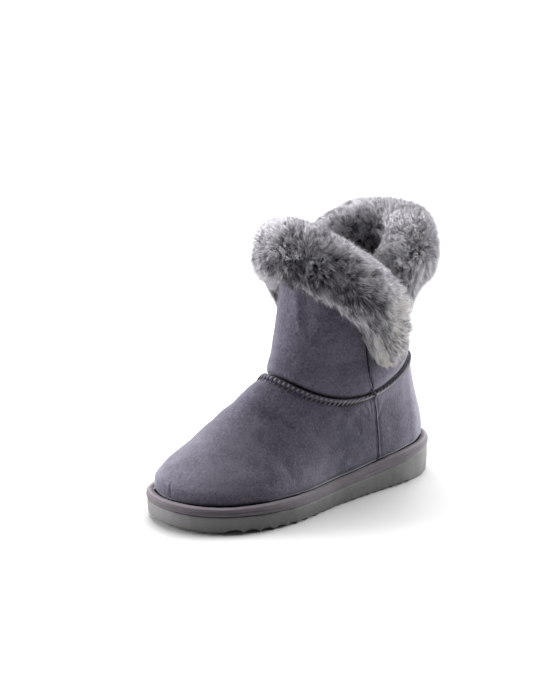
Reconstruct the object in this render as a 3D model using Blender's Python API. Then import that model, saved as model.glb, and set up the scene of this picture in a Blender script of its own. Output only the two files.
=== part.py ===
"""A left boot slipper: a pull-on suede boot on a thick flat sole, with a deep fur cuff turned out over a collar
that dips to a notch on each side.

Metres, +Z up. The toe points to -Y and the outer side of the foot to +X. The origin is on the floor, under the
middle of the sole's length and on its centre line.

Every piece is lofted from closed loops that share one set of columns. The column at u = 0 is at the back of the
heel, u = pi / 2 on the outer side, u = pi at the toe and u = 3 pi / 2 on the inner side.
"""

import bmesh
import bpy
import numpy as np

# ---------------------------------------------------------------- driving sizes
SOLE_LENGTH = 0.262  # heel to toe, outside
BALL_WIDTH = 0.1065  # widest part of the sole
COLUMNS = 64  # round every loop but the outsole's
GAP = 0.0003  # between pieces that touch
MM = 0.001

UPPER_BASE_HEEL = 0.0297  # the straight line that the upper's heights start from, at the heel
UPPER_BASE_TOE = 0.0210  # and at the toe, before its lift
CREASE_FADE = 0.45  # the level of the upper where the crease's waves have died out
TOE_SPRING = 0.0042  # how far the toe tip lifts off the floor
SPRING_START = 0.76  # share of the length where the lift begins

SOLE_HEIGHTS = (
    # distance from the heel, height of the outsole's side, height of the crease above the band (mm)
    (0.0, 24.3, 30.4),
    (30.0, 23.4, 29.9),
    (50.0, 21.0, 28.8),
    (65.0, 18.8, 27.3),
    (80.0, 17.3, 25.3),
    (95.0, 16.2, 23.8),
    (115.0, 15.3, 22.3),
    (135.0, 14.5, 21.5),
    (155.0, 14.2, 21.6),
    (175.0, 14.5, 22.2),
    (195.0, 15.3, 22.6),
    (215.0, 15.4, 22.2),
    (235.0, 14.3, 20.6),
    (262.0, 13.2, 19.6),
)

UPPER_WALL = 0.0050  # suede and its fleece lining together
SHAFT_WALL = 0.0055
INSOLE_THICKNESS = 0.0060

LUGS = (
    # number from the heel, distance from the heel (mm), rise (mm): the scallops in the outsole's lower edge
    (0, 47.0, 1.6),
    (2, 65.0, 1.3),
    (5, 92.0, 1.3),
    (10, 135.5, 1.3),
    (14, 178.0, 2.0),
    (16, 201.5, 2.8),
    (18, 226.5, 3.0),
)
LUG_TOE_PITCH = 13.0  # mm, at the last of them
LUG_REACH = 0.0090  # how far in from the side a scallop starts
LUG_PROFILE = ((0.06, 0.0), (0.25, 0.85), (0.50, 1.0), (0.75, 0.85), (0.94, 0.0))  # share of pitch, of rise
TREAD_EDGE = 0.0022  # the rounding between the tread and the side
TREAD_EDGE_LUG = 0.0012  # what is left of it at the top of a scallop

# The wrapped band's side, from its lower edge to its crease with the upper.
BAND_PROFILE = (
    # inset from the sole's outline, share of the band's height
    (-0.0006, 0.00),
    (-0.0008, 0.40),
    (0.0002, 0.72),
    (0.0022, 0.92),
    (0.0050, 1.00),
)

# The insole's side, from the board to its rounded upper edge.
INSOLE_PROFILE = (
    # inset from the upper's wall, share of INSOLE_THICKNESS
    (0.0003, 0.00),
    (0.0003, 0.55),
    (0.0012, 0.88),
    (0.0035, 1.00),
)

# The sole's outline, in shares of SOLE_LENGTH and of BALL_WIDTH. A minus sign is towards the inner side.
OUTLINE = (
    # along, centre, half width
    (0.000, 0.000, 0.000),
    (0.020, 0.000, 0.156),
    (0.060, 0.000, 0.259),
    (0.120, 0.000, 0.331),
    (0.200, 0.004, 0.362),
    (0.320, 0.014, 0.360),
    (0.450, 0.022, 0.374),
    (0.580, 0.022, 0.428),
    (0.680, 0.004, 0.474),
    (0.760, -0.025, 0.486),
    (0.840, -0.064, 0.459),
    (0.910, -0.100, 0.383),
    (0.960, -0.120, 0.278),
    (0.985, -0.127, 0.178),
    (1.000, -0.130, 0.000),
)

# The upper's loops, from the feather line on the sole to the ankle seam, in millimetres. Back and front are
# distances from the back of the sole, and the rises are above upper_base.
UPPER = (
    # level, back, front, half width, roundness, rise at the back, rise at the front, sag at the sides
    (0.00, 6.2, 256.0, 47.3, 0.00, 0.0, 0.0, 0.0),
    (0.10, 6.0, 256.0, 48.3, 0.02, 9.0, 8.0, 0.0),
    (0.22, 7.4, 250.0, 48.0, 0.10, 20.0, 15.5, 0.0),
    (0.36, 9.8, 238.0, 46.2, 0.25, 31.0, 25.5, 1.5),
    (0.52, 12.8, 223.0, 44.0, 0.45, 43.0, 38.5, 5.0),
    (0.68, 15.8, 205.0, 42.3, 0.65, 54.5, 52.5, 9.0),
    (0.84, 18.5, 184.0, 41.4, 0.85, 66.0, 67.0, 13.5),
    (1.00, 20.8, 159.0, 41.2, 1.00, 76.5, 80.5, 18.5),
)
SAG_SKEW = 1.36  # carries the lowest point of each side towards the toe

# The shaft's cross-sections by height above the floor, in millimetres.
SHAFT = (
    # height, back, front, half width
    (60.0, 20.0, 169.0, 40.6),
    (90.0, 21.3, 161.5, 40.0),
    (110.0, 22.2, 154.8, 40.5),
    (140.0, 22.8, 146.7, 42.0),
    (175.0, 23.5, 140.5, 43.0),
    (215.0, 24.0, 137.0, 44.0),
)

# The collar's edge by share of the way round each side, from the back (0) to the front (1), in millimetres.
COLLAR = (
    # share, height
    (0.000, 201.0),
    (0.130, 199.0),
    (0.260, 190.0),
    (0.340, 178.0),
    (0.372, 166.5),
    (0.405, 155.0),
    (0.450, 153.0),
    (0.600, 172.0),
    (0.750, 194.0),
    (0.900, 207.0),
    (1.000, 210.0),
)

# The two fur cuffs, by the same shares, in millimetres. Heights are above the floor, and the thicknesses are of
# the fur outside and inside the shaft's wall. Each cuff ends where its table does, on both sides of the foot.
CUFF_FRONT = (
    # share, crest, outer hem, inner hem, outer thickness, inner thickness
    (0.380, 169.0, 114.0, 124.0, 19.0, 14.0),
    (0.425, 178.0, 112.5, 126.0, 20.5, 14.0),
    (0.460, 186.0, 112.0, 128.0, 21.0, 14.0),
    (0.500, 193.0, 113.5, 130.0, 21.5, 14.0),
    (0.525, 196.5, 120.0, 134.0, 21.8, 14.0),
    (0.550, 200.0, 131.0, 141.0, 22.0, 15.0),
    (0.600, 206.0, 146.0, 154.0, 22.0, 15.0),
    (0.650, 211.5, 156.0, 163.0, 22.0, 15.0),
    (0.700, 217.0, 163.5, 170.0, 22.5, 15.0),
    (0.800, 224.5, 175.5, 181.0, 23.5, 15.0),
    (0.900, 228.5, 184.0, 188.0, 24.0, 15.0),
    (1.000, 229.5, 186.5, 190.0, 24.0, 15.0),
)
CUFF_BACK = (
    (0.000, 229.0, 172.0, 178.0, 21.0, 17.0),
    (0.130, 229.0, 171.5, 177.0, 21.0, 17.0),
    (0.260, 224.0, 171.0, 170.0, 20.5, 17.0),
    (0.340, 217.5, 168.0, 161.0, 18.5, 17.0),
    (0.372, 215.0, 158.5, 153.0, 17.5, 17.0),
    (0.405, 213.0, 147.0, 144.0, 16.0, 17.0),
    (0.460, 208.5, 140.5, 139.0, 12.0, 16.0),
    (0.520, 195.0, 139.0, 138.0, 9.0, 13.0),
)
CUFF_ROUNDING = 0.045  # share of the way round over which each end closes
CUFF_GAP = 0.0007  # clear of the wall that the cuff straddles
CUFF_CLEARANCE = 0.0010  # from the front cuff to the hollow for it in the back one
INNER_HEM = (
    # share, how much lower the front cuff's hem hangs on the inner side (mm)
    (0.00, 0.0),
    (0.50, 0.0),
    (0.545, 8.0),
    (0.58, 14.0),
    (0.62, 10.0),
    (0.68, 0.0),
    (1.00, 0.0),
)
INNER_CREST = (
    # share, how much higher the back cuff stands on the inner side (mm)
    (0.00, 0.0),
    (0.15, 0.0),
    (0.26, 3.0),
    (0.34, 5.0),
    (0.52, 5.0),
    (1.00, 5.0),
)
HALF_ROUND = 0.160  # about half the way round the collar, which a share of 1 covers


# ---------------------------------------------------------------- curves
def smooth(rows, column, at):
    """A column of a table, read against its first column by a cubic that never overshoots its rows."""
    x = np.array([row[0] for row in rows], float)
    y = np.array([row[column] for row in rows], float)
    return smooth_between(x, y, at)


def smooth_between(x, y, at):
    step = np.diff(x)
    slope = np.diff(y) / step
    tangent = np.zeros_like(y)
    for k in range(1, len(x) - 1):
        before, after = slope[k - 1], slope[k]
        if before * after > 0:
            w1 = 2 * step[k] + step[k - 1]
            w2 = step[k] + 2 * step[k - 1]
            tangent[k] = (w1 + w2) / (w1 / before + w2 / after)
    tangent[0], tangent[-1] = slope[0], slope[-1]
    at = np.clip(np.asarray(at, float), x[0], x[-1])
    k = np.clip(np.searchsorted(x, at, side="right") - 1, 0, len(step) - 1)
    t = (at - x[k]) / step[k]
    value = y[k] * (1 + 2 * t) * (1 - t) ** 2 + y[k + 1] * t * t * (3 - 2 * t)
    return value + step[k] * (tangent[k] * t * (1 - t) ** 2 + tangent[k + 1] * t * t * (t - 1))


def outline_half(along):
    """Half the sole's width, as a share of BALL_WIDTH. Read as a square, so that both ends are round."""
    squares = [(row[0], row[2] ** 2) for row in OUTLINE]
    return np.sqrt(np.maximum(smooth(squares, 1, along), 0))


def column_angles():
    return np.arange(COLUMNS) * 2 * np.pi / COLUMNS


def side_of(u):
    """+1 on the outer half of a loop and -1 on the inner half."""
    return np.where(np.sin(u) >= -1e-9, 1.0, -1.0)


def y_of(from_heel):
    return SOLE_LENGTH / 2 - from_heel


def spring(from_heel):
    t = np.clip((from_heel / SOLE_LENGTH - SPRING_START) / (1 - SPRING_START), 0, 1.05)
    return TOE_SPRING * t**2


def tread_top(from_heel):
    """The height where the outsole's side ends and the wrapped band begins."""
    return smooth(SOLE_HEIGHTS, 1, from_heel / MM) * MM + spring(from_heel)


def midsole_top(from_heel):
    """The height of the crease between the band and the upper."""
    return smooth(SOLE_HEIGHTS, 2, from_heel / MM) * MM + spring(from_heel)


def upper_base(from_heel):
    share = from_heel / SOLE_LENGTH
    return UPPER_BASE_HEEL + (UPPER_BASE_TOE - UPPER_BASE_HEEL) * share + spring(from_heel)


# ---------------------------------------------------------------- loops
def sole_loop(inset=0.0, u=None):
    """(x, distance from the heel) round the sole's outline, moved in by inset along its normals."""
    u = column_angles() if u is None else u
    along = (1 - np.cos(u)) / 2
    x = BALL_WIDTH * (smooth(OUTLINE, 1, along) + side_of(u) * outline_half(along))
    loop = np.stack([x, SOLE_LENGTH * along], 1)
    return loop - np.reshape(inset, (-1, 1)) * outward(loop)


def outward(loop):
    """Unit normals of a closed plan loop, pointing out."""
    tangent = np.roll(loop, -1, 0) - np.roll(loop, 1, 0)
    normal = np.stack([-tangent[:, 1], tangent[:, 0]], 1)
    normal /= np.linalg.norm(normal, axis=1)[:, None]
    middle = loop.mean(0)
    return normal * np.sign(((loop - middle) * normal).sum(1).sum())


def upper_loop(level):
    """One loop of the upper's outside, as points (x, y, z)."""
    back, front, half, round_share, rise_back, rise_front, sag = (
        float(smooth(UPPER, column, level)) for column in range(1, 8)
    )
    u = column_angles()
    along = (1 - np.cos(u)) / 2
    widest = max(row[2] for row in OUTLINE)
    shoe_half = outline_half(along) / widest
    oval_half = np.sin(u) * side_of(u)
    half_here = half * MM * ((1 - round_share) * shoe_half + round_share * oval_half)
    centre = BALL_WIDTH * smooth(OUTLINE, 1, along) * (1 - round_share)
    from_heel = (back + (front - back) * along) * MM
    skewed = along**SAG_SKEW
    rise = rise_back + (rise_front - rise_back) * along - sag * 4 * skewed * (1 - skewed)
    base = upper_base(from_heel)
    wave = (midsole_top(from_heel) - base) * max(0.0, 1 - level / CREASE_FADE) ** 2
    return np.stack([centre + side_of(u) * half_here, y_of(from_heel), base + wave + rise * MM], 1)


def seam_height(y):
    """The ankle seam's height, where the upper's top edge and the shaft's foot meet."""
    back, front, _, _, rise_back, rise_front, sag = UPPER[-1][1:]
    from_heel = SOLE_LENGTH / 2 - y
    along = np.clip((from_heel / MM - back) / (front - back), 0, 1)
    skewed = along**SAG_SKEW
    rise = rise_back + (rise_front - rise_back) * along - sag * 4 * skewed * (1 - skewed)
    return upper_base(from_heel) + rise * MM


def shaft_points(height):
    """Points of the shaft's outside at these heights, one for each column."""
    back, front, half = (smooth(SHAFT, column, height / MM) * MM for column in range(1, 4))
    u = column_angles()
    along = (1 - np.cos(u)) / 2
    return np.stack([half * np.sin(u), y_of(back + (front - back) * along), height], 1)


def collar_height():
    u = column_angles()
    share = 1 - np.abs(1 - u / np.pi)
    return smooth(COLLAR, 1, share) * MM


# ---------------------------------------------------------------- meshes
def make_object(name, vertices, faces, material):
    mesh = bpy.data.meshes.new(name)
    mesh.from_pydata([tuple(v) for v in vertices], [], faces)
    mesh.validate()
    mesh.materials.append(material)
    mesh.shade_smooth()
    shape = bmesh.new()
    shape.from_mesh(mesh)
    bmesh.ops.triangulate(shape, faces=shape.faces)
    bmesh.ops.recalc_face_normals(shape, faces=shape.faces)
    shape.to_mesh(mesh)
    shape.free()
    made = bpy.data.objects.new(name, mesh)
    bpy.context.scene.collection.objects.link(made)
    return made


def tube_faces(rows, columns, closed_rows=False):
    """Quads between successive loops. With closed_rows the last loop joins the first, as on a ring."""
    faces = []
    for r in range(rows if closed_rows else rows - 1):
        for c in range(columns):
            a, b = r * columns + c, r * columns + (c + 1) % columns
            n = ((r + 1) % rows) * columns
            faces.append((a, b, n + (c + 1) % columns, n + c))
    return faces


def across_faces(first, columns, up):
    """Quads across a loop from its outer to its inner side, from heel to toe."""
    faces = []
    for c in range(columns // 2):
        a, b = c, c + 1
        quad = [first + a, first + b, first + (columns - b) % columns, first + (columns - a) % columns]
        quad = list(dict.fromkeys(quad))
        faces.append(tuple(quad if up else quad[::-1]))
    return faces


def solid_from_loops(name, loops, material):
    """A closed solid through loops from the bottom up, capped across at both ends."""
    columns = len(loops[0])
    vertices = np.concatenate(loops)
    faces = tube_faces(len(loops), columns)
    faces += across_faces(0, columns, up=False)
    faces += across_faces((len(loops) - 1) * columns, columns, up=True)
    return make_object(name, vertices, faces, material)


def shell_from_loops(name, outer, inner, material):
    """A hollow shell: up the outer loops and down the inner ones, open at both ends."""
    loops = list(outer) + list(inner)[::-1]
    faces = tube_faces(len(loops), len(outer[0]), closed_rows=True)
    return make_object(name, np.concatenate(loops), faces, material)


def surface_normals(loops):
    """Outward unit normals of a grid of loops, one for each point."""
    grid = np.array(loops)
    around = np.roll(grid, -1, 1) - np.roll(grid, 1, 1)
    up = np.gradient(grid, axis=0)
    normal = np.cross(up, around)
    normal /= np.linalg.norm(normal, axis=2)[:, :, None] + 1e-12
    middle = grid.mean(1)[:, None]
    if ((grid - middle) * normal).sum() < 0:
        normal = -normal
    return normal


def level(vectors):
    """The same directions with no upward part, at unit length."""
    flat = vectors * [1, 1, 0]
    return flat / np.linalg.norm(flat, axis=-1)[..., None]


def inside_of(loops, wall):
    """Loops set in by the wall's thickness. The first and last stay at their own heights, as cut edges do."""
    normal = surface_normals(loops)
    normal[0], normal[-1] = level(normal[0]), level(normal[-1])
    return list(np.array(loops) - wall * normal)


# ---------------------------------------------------------------- sole
def scallops():
    """Columns round the outsole, as their angles u, and the height that each is cut up by."""
    number = np.array([k + share - 0.5 for k in range(LUGS[-1][0] + 1) for share, _ in LUG_PROFILE])
    rise = np.array([rise for _ in range(LUGS[-1][0] + 1) for _, rise in LUG_PROFILE])
    rise = rise * smooth(LUGS, 2, np.clip(number, 0, LUGS[-1][0])) * MM
    ends = (LUGS[1][1] - LUGS[0][1]) / (LUGS[1][0] - LUGS[0][0])
    from_heel = smooth(LUGS, 1, number) + np.minimum(number, 0) * ends
    from_heel += np.maximum(number - LUGS[-1][0], 0) * LUG_TOE_PITCH
    outer = np.arccos(1 - 2 * from_heel * MM / SOLE_LENGTH)
    heel = np.linspace(0, outer[0], 9)[:-1]
    toe = np.linspace(outer[-1], np.pi, 9)[1:]
    half = np.concatenate([heel, outer, toe])
    rise = np.concatenate([heel * 0, rise, toe * 0])
    u = np.concatenate([half, 2 * np.pi - half[-2:0:-1]])
    return u, np.concatenate([rise, rise[-2:0:-1]])


def lift(plan, height):
    """A plan loop of (x, distance from heel) at a height above the sprung floor line."""
    return np.stack([plan[:, 0], y_of(plan[:, 1]), spring(plan[:, 1]) + height], 1)


def make_outsole(material):
    """A flat tread with scallops round its lower edge, and straight sides up to the midsole."""
    u, rise = scallops()
    edge = TREAD_EDGE - (TREAD_EDGE - TREAD_EDGE_LUG) * rise / rise.max()
    top = sole_loop(0.0, u)
    side = tread_top(top[:, 1]) - spring(top[:, 1]) - GAP
    loops = [
        lift(sole_loop(LUG_REACH, u), 0.0),
        lift(sole_loop(edge, u), rise),
        lift(sole_loop(0.0002, u), rise + edge),
        lift(top, side),
    ]
    return solid_from_loops("outsole", loops, material)


def make_midsole(material):
    """The wrapped band: proud of the outsole, then rounded in to its crease with the upper."""
    loops = []
    for inset, share in BAND_PROFILE:
        plan = sole_loop(inset)
        foot, crease = tread_top(plan[:, 1]), midsole_top(plan[:, 1])
        loops.append(np.stack([plan[:, 0], y_of(plan[:, 1]), foot + (crease - foot) * share], 1))
    return solid_from_loops("midsole", loops, material)


# ---------------------------------------------------------------- upper and shaft
def upper_outside():
    loops = [upper_loop(x) for x in np.linspace(0, 1, 13)]
    for loop in loops:
        loop[:, 2] += GAP
    return loops


def make_upper(material):
    outer = upper_outside()
    inner = inside_of(outer, UPPER_WALL)
    inner[-1][:, 2] = seam_height(inner[-1][:, 1]) + GAP
    return shell_from_loops("upper", outer, inner, material)


def make_insole(material):
    """A fleece-covered board that fills the upper's foot, with a rounded upper edge."""
    foot = inside_of(upper_outside(), UPPER_WALL)[0]
    inward = outward(foot[:, :2])
    loops = []
    for inset, share in INSOLE_PROFILE:
        loop = foot.copy()
        loop[:, :2] -= inset * inward
        loop[:, 2] += INSOLE_THICKNESS * share
        loops.append(loop)
    return solid_from_loops("insole", loops, material)


def wall_point(column, height, offset=0.0):
    """A point of the shaft's outside on a column that needn't be whole, moved level and outwards by offset."""
    ring = shaft_points(np.full(COLUMNS, height))
    out = outward(ring[:, :2])
    low = int(np.floor(column))
    t = column - low
    low, high = low % COLUMNS, (low + 1) % COLUMNS
    point = ring[low] * (1 - t) + ring[high] * t
    way = out[low] * (1 - t) + out[high] * t
    point[:2] += offset * way
    return point


def shaft_loops(offset):
    """Loops of the shaft from its foot on the ankle seam up to the collar's edge."""
    foot, top = upper_loop(1.0)[:, 2], collar_height()
    for _ in range(4):
        loop = np.array([wall_point(k, foot[k], offset) for k in range(COLUMNS)])
        foot = seam_height(loop[:, 1]) + 2 * GAP
    loops = []
    for share in np.linspace(0, 1, 8):
        height = foot + (top - foot) * share
        loops.append(np.array([wall_point(k, height[k], offset) for k in range(COLUMNS)]))
    return loops


def make_shaft(material):
    return shell_from_loops("shaft", shaft_loops(0.0), shaft_loops(-SHAFT_WALL), material)


# ---------------------------------------------------------------- fur cuffs
def cuff_section(column, rim, crest, hem, inner_hem, outside, inside):
    """One closed section of a cuff: a puffed flap outside, over the collar's edge and a shorter roll inside.

    The wall stands in a slot up to the rim, its last two points."""
    far = -(SHAFT_WALL + CUFF_GAP)
    tall, deep = crest - hem, crest - inner_hem
    profile = (
        # offset from the wall's outside, height
        (CUFF_GAP, hem + 0.05 * tall),
        (0.30 * outside, hem),
        (0.70 * outside, hem + 0.045 * tall),
        (0.94 * outside, hem + 0.18 * tall),
        (outside, hem + 0.40 * tall),
        (0.95 * outside, hem + 0.63 * tall),
        (0.76 * outside, hem + 0.84 * tall),
        (0.42 * outside, crest - 0.04 * tall),
        (-SHAFT_WALL / 2, crest),
        (far - 0.40 * inside, crest - 0.05 * deep),
        (far - 0.80 * inside, crest - 0.20 * deep),
        (far - inside, crest - 0.44 * deep),
        (far - 0.90 * inside, inner_hem + 0.30 * deep),
        (far - 0.55 * inside, inner_hem + 0.07 * deep),
        (far - 0.20 * inside, inner_hem),
        (far, inner_hem + 0.04 * deep),
        (far, rim),
        (CUFF_GAP, rim),
    )
    return np.array([wall_point(column, height, offset) for offset, height in profile])


def cuff_sections(table, forward, grow=0.0):
    """Sections from one end of a cuff to the other, through the front of the foot or through its back.

    With grow they are a cutter's: larger by that much all round, and with no slot for the wall."""
    ends = [row[0] for row in table]
    toward = 1 if forward else -1
    tip = (ends[0] if forward else ends[-1]) - toward * grow / HALF_ROUND
    closing = [tip + toward * CUFF_ROUNDING * (1 - x) for x in (0.99, 0.93, 0.82, 0.64, 0.38, 0.0)]
    whole = [k * 2 / COLUMNS for k in range(COLUMNS // 2 + 1)]
    whole = [share for share in whole if (share - closing[-1]) * toward > 0.008]
    shares = closing + (whole if forward else whole[::-1])
    side = [share * COLUMNS / 2 for share in shares]
    other = [COLUMNS - column for column in side[:-1]] if forward else [-column for column in side[:-1]]
    sections = []
    for column in side + other[::-1]:
        share = 1 - abs(1 - abs(column) * 2 / COLUMNS)
        crest, hem, inner_hem, outside, inside = (float(smooth(table, k, share)) * MM for k in range(1, 6))
        if column < 0:
            crest += float(smooth(INNER_CREST, 1, share)) * MM
        if column > COLUMNS / 2:
            hem -= float(smooth(INNER_HEM, 1, share)) * MM
        x = 1 - np.clip((share - tip) * toward / CUFF_ROUNDING, 0, 1)
        squeeze = np.sqrt(1 - x**2)
        rim = np.interp(share * COLUMNS / 2, np.arange(COLUMNS), collar_height()) + CUFF_GAP
        middle = rim + CUFF_GAP
        crest, hem, inner_hem = (middle + (value - middle) * squeeze for value in (crest, hem, inner_hem))
        section = cuff_section(
            column % COLUMNS, rim, crest + grow, hem - grow, inner_hem - grow,
            outside * squeeze + grow, inside * squeeze + grow,
        )
        sections.append(section[:-2] if grow else section)
    return sections


def solid_from_sections(name, sections, material):
    """A closed solid through sections, with a face on each end."""
    points = len(sections[0])
    last = (len(sections) - 1) * points
    faces = tube_faces(len(sections), points)
    faces.append(tuple(range(points))[::-1])
    faces.append(tuple(last + k for k in range(points)))
    return make_object(name, np.concatenate(sections), faces, material)


def make_cuffs(material):
    """The front cuff lies over the ends of the back one, which is hollowed to take it."""
    solid_from_sections("fur_cuff_front", cuff_sections(CUFF_FRONT, forward=True), material)
    back = solid_from_sections("fur_cuff_back", cuff_sections(CUFF_BACK, forward=False), material)
    larger = cuff_sections(CUFF_FRONT, forward=True, grow=CUFF_CLEARANCE)
    cutter = solid_from_sections("cuff_cutter", larger, material)
    cutter.hide_render = True
    cutter.display_type = "WIRE"
    cut = back.modifiers.new("room_for_front", "BOOLEAN")
    cut.operation = "DIFFERENCE"
    cut.object = cutter


# ---------------------------------------------------------------- build
def make_material(name, colour, roughness):
    material = bpy.data.materials.new(name)
    material.use_nodes = True
    shader = material.node_tree.nodes["Principled BSDF"]
    shader.inputs["Base Color"].default_value = (*colour, 1)
    shader.inputs["Roughness"].default_value = roughness
    material.diffuse_color = (*colour, 1)
    return material


def main():
    for old in list(bpy.data.objects):
        bpy.data.objects.remove(old)
    suede = make_material("suede", (0.10, 0.09, 0.12), 0.9)
    rubber = make_material("sole_foam", (0.10, 0.10, 0.10), 0.7)
    wrap = make_material("wrap", (0.13, 0.12, 0.13), 0.8)
    fleece = make_material("fleece", (0.16, 0.15, 0.17), 0.95)
    fur = make_material("fur", (0.22, 0.21, 0.23), 0.95)
    make_outsole(rubber)
    make_midsole(wrap)
    make_insole(fleece)
    make_upper(suede)
    make_shaft(suede)
    make_cuffs(fur)


main()
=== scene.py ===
"""The looks of a left boot slipper: brushed suede on a foam sole, with a deep fur cuff turned out at the top.

Metres, +Z up, toe towards -Y, outer side of the foot towards +X, origin on the floor under the sole's middle.
The surfaces are lofted through the same sections as the model's solids, only finer, and then take their
relief. In the tables, heights are above the floor, from_heel is measured from the back of the sole towards
the toe, and a share runs round each side from the back of the heel (0) to the toe (1). An angle u does the
same from 0 to pi on the outer side, and on to two pi, back to the heel, on the inner side.
"""

import bmesh
import bpy
import numpy as np
from mathutils import Matrix, kdtree


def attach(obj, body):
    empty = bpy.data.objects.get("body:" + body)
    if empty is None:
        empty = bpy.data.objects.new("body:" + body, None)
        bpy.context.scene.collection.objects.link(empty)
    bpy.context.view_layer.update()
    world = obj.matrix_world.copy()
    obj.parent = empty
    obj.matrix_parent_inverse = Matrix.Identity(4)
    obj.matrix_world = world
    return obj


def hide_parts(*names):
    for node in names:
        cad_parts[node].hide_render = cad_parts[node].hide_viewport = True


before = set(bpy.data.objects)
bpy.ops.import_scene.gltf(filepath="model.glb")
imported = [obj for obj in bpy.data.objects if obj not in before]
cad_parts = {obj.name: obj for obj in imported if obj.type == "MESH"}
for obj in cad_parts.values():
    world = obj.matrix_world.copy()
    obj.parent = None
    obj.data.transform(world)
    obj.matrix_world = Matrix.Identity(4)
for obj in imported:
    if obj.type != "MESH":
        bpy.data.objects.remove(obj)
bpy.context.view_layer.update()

# ---------------------------------------------------------------- driving sizes
MM = 0.001
SOLE_LENGTH = 0.262
BALL_WIDTH = 0.1065
UPPER_BASE_HEEL = 0.0297
UPPER_BASE_TOE = 0.0210
CREASE_FADE = 0.45
TOE_SPRING = 0.0042
SPRING_START = 0.76
UPPER_WALL = 0.0050
SHAFT_WALL = 0.0055
INSOLE_THICKNESS = 0.0060

SOLE_HEIGHTS = (
    # from_heel, height of the outsole's side, height of the crease above the band (mm)
    (0.0, 24.3, 30.4),
    (30.0, 23.4, 29.9),
    (50.0, 21.0, 28.8),
    (65.0, 18.8, 27.3),
    (80.0, 17.3, 25.3),
    (95.0, 16.2, 23.8),
    (115.0, 15.3, 22.3),
    (135.0, 14.5, 21.5),
    (155.0, 14.2, 21.6),
    (175.0, 14.5, 22.2),
    (195.0, 15.3, 22.6),
    (215.0, 15.4, 22.2),
    (235.0, 14.3, 20.6),
    (262.0, 13.2, 19.6),
)
OUTLINE = (
    # along, centre, half width, as shares of SOLE_LENGTH and BALL_WIDTH
    (0.000, 0.000, 0.000),
    (0.020, 0.000, 0.156),
    (0.060, 0.000, 0.259),
    (0.120, 0.000, 0.331),
    (0.200, 0.004, 0.362),
    (0.320, 0.014, 0.360),
    (0.450, 0.022, 0.374),
    (0.580, 0.022, 0.428),
    (0.680, 0.004, 0.474),
    (0.760, -0.025, 0.486),
    (0.840, -0.064, 0.459),
    (0.910, -0.100, 0.383),
    (0.960, -0.120, 0.278),
    (0.985, -0.127, 0.178),
    (1.000, -0.130, 0.000),
)
UPPER = (
    # level, back, front, half width, roundness, rise at the back, rise at the front, sag at the sides (mm)
    (0.00, 6.2, 256.0, 47.3, 0.00, 0.0, 0.0, 0.0),
    (0.10, 6.0, 256.0, 48.3, 0.02, 9.0, 8.0, 0.0),
    (0.22, 7.4, 250.0, 48.0, 0.10, 20.0, 15.5, 0.0),
    (0.36, 9.8, 238.0, 46.2, 0.25, 31.0, 25.5, 1.5),
    (0.52, 12.8, 223.0, 44.0, 0.45, 43.0, 38.5, 5.0),
    (0.68, 15.8, 205.0, 42.3, 0.65, 54.5, 53.2, 9.3),
    (0.84, 18.5, 184.0, 41.4, 0.85, 66.0, 68.8, 14.4),
    (1.00, 20.8, 158.2, 41.2, 1.00, 76.5, 83.2, 19.8),
)
SAG_SKEW = 1.36
SHAFT = (
    # height, back, front, half width (mm)
    (60.0, 20.0, 169.0, 40.6),
    (90.0, 21.3, 161.5, 40.0),
    (110.0, 22.2, 154.8, 40.5),
    (140.0, 22.8, 146.7, 42.0),
    (175.0, 23.5, 140.5, 43.0),
    (215.0, 24.0, 137.0, 44.0),
)
COLLAR = (
    # share, height (mm)
    (0.000, 201.0),
    (0.130, 199.0),
    (0.260, 190.0),
    (0.340, 178.0),
    (0.372, 166.5),
    (0.405, 155.0),
    (0.450, 153.0),
    (0.600, 172.0),
    (0.750, 194.0),
    (0.900, 207.0),
    (1.000, 210.0),
)
CUFF_FRONT = (
    # share, crest, outer hem, inner hem, outer thickness, inner thickness (mm)
    (0.380, 169.0, 114.0, 124.0, 19.0, 14.0),
    (0.425, 178.0, 112.5, 126.0, 20.5, 14.0),
    (0.460, 186.0, 112.0, 128.0, 21.0, 14.0),
    (0.500, 193.0, 113.5, 130.0, 21.5, 14.0),
    (0.525, 196.5, 120.0, 134.0, 21.8, 14.0),
    (0.550, 200.0, 131.0, 141.0, 22.0, 15.0),
    (0.600, 206.0, 146.0, 154.0, 22.0, 15.0),
    (0.650, 211.5, 156.0, 163.0, 22.0, 15.0),
    (0.700, 217.0, 163.5, 170.0, 22.5, 15.0),
    (0.800, 224.5, 175.5, 181.0, 23.5, 15.0),
    (0.900, 228.5, 184.0, 188.0, 24.0, 15.0),
    (1.000, 229.5, 186.5, 190.0, 24.0, 15.0),
)
CUFF_BACK = (
    (0.000, 229.0, 172.0, 178.0, 21.0, 17.0),
    (0.130, 229.0, 171.5, 177.0, 21.0, 17.0),
    (0.260, 224.0, 171.0, 170.0, 20.5, 17.0),
    (0.340, 217.5, 168.0, 161.0, 18.5, 17.0),
    (0.372, 215.0, 158.5, 153.0, 17.5, 17.0),
    (0.405, 213.0, 147.0, 144.0, 16.0, 17.0),
    (0.460, 208.5, 140.5, 139.0, 12.0, 16.0),
    (0.520, 195.0, 139.0, 138.0, 9.0, 13.0),
)
CUFF_ROUNDING = 0.045  # share over which each end of a cuff closes
CLOSING = 0.10  # and the part of its stations that do that
SHARE_LENGTH = 0.160  # length of the collar over a share of 1 (m)

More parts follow.
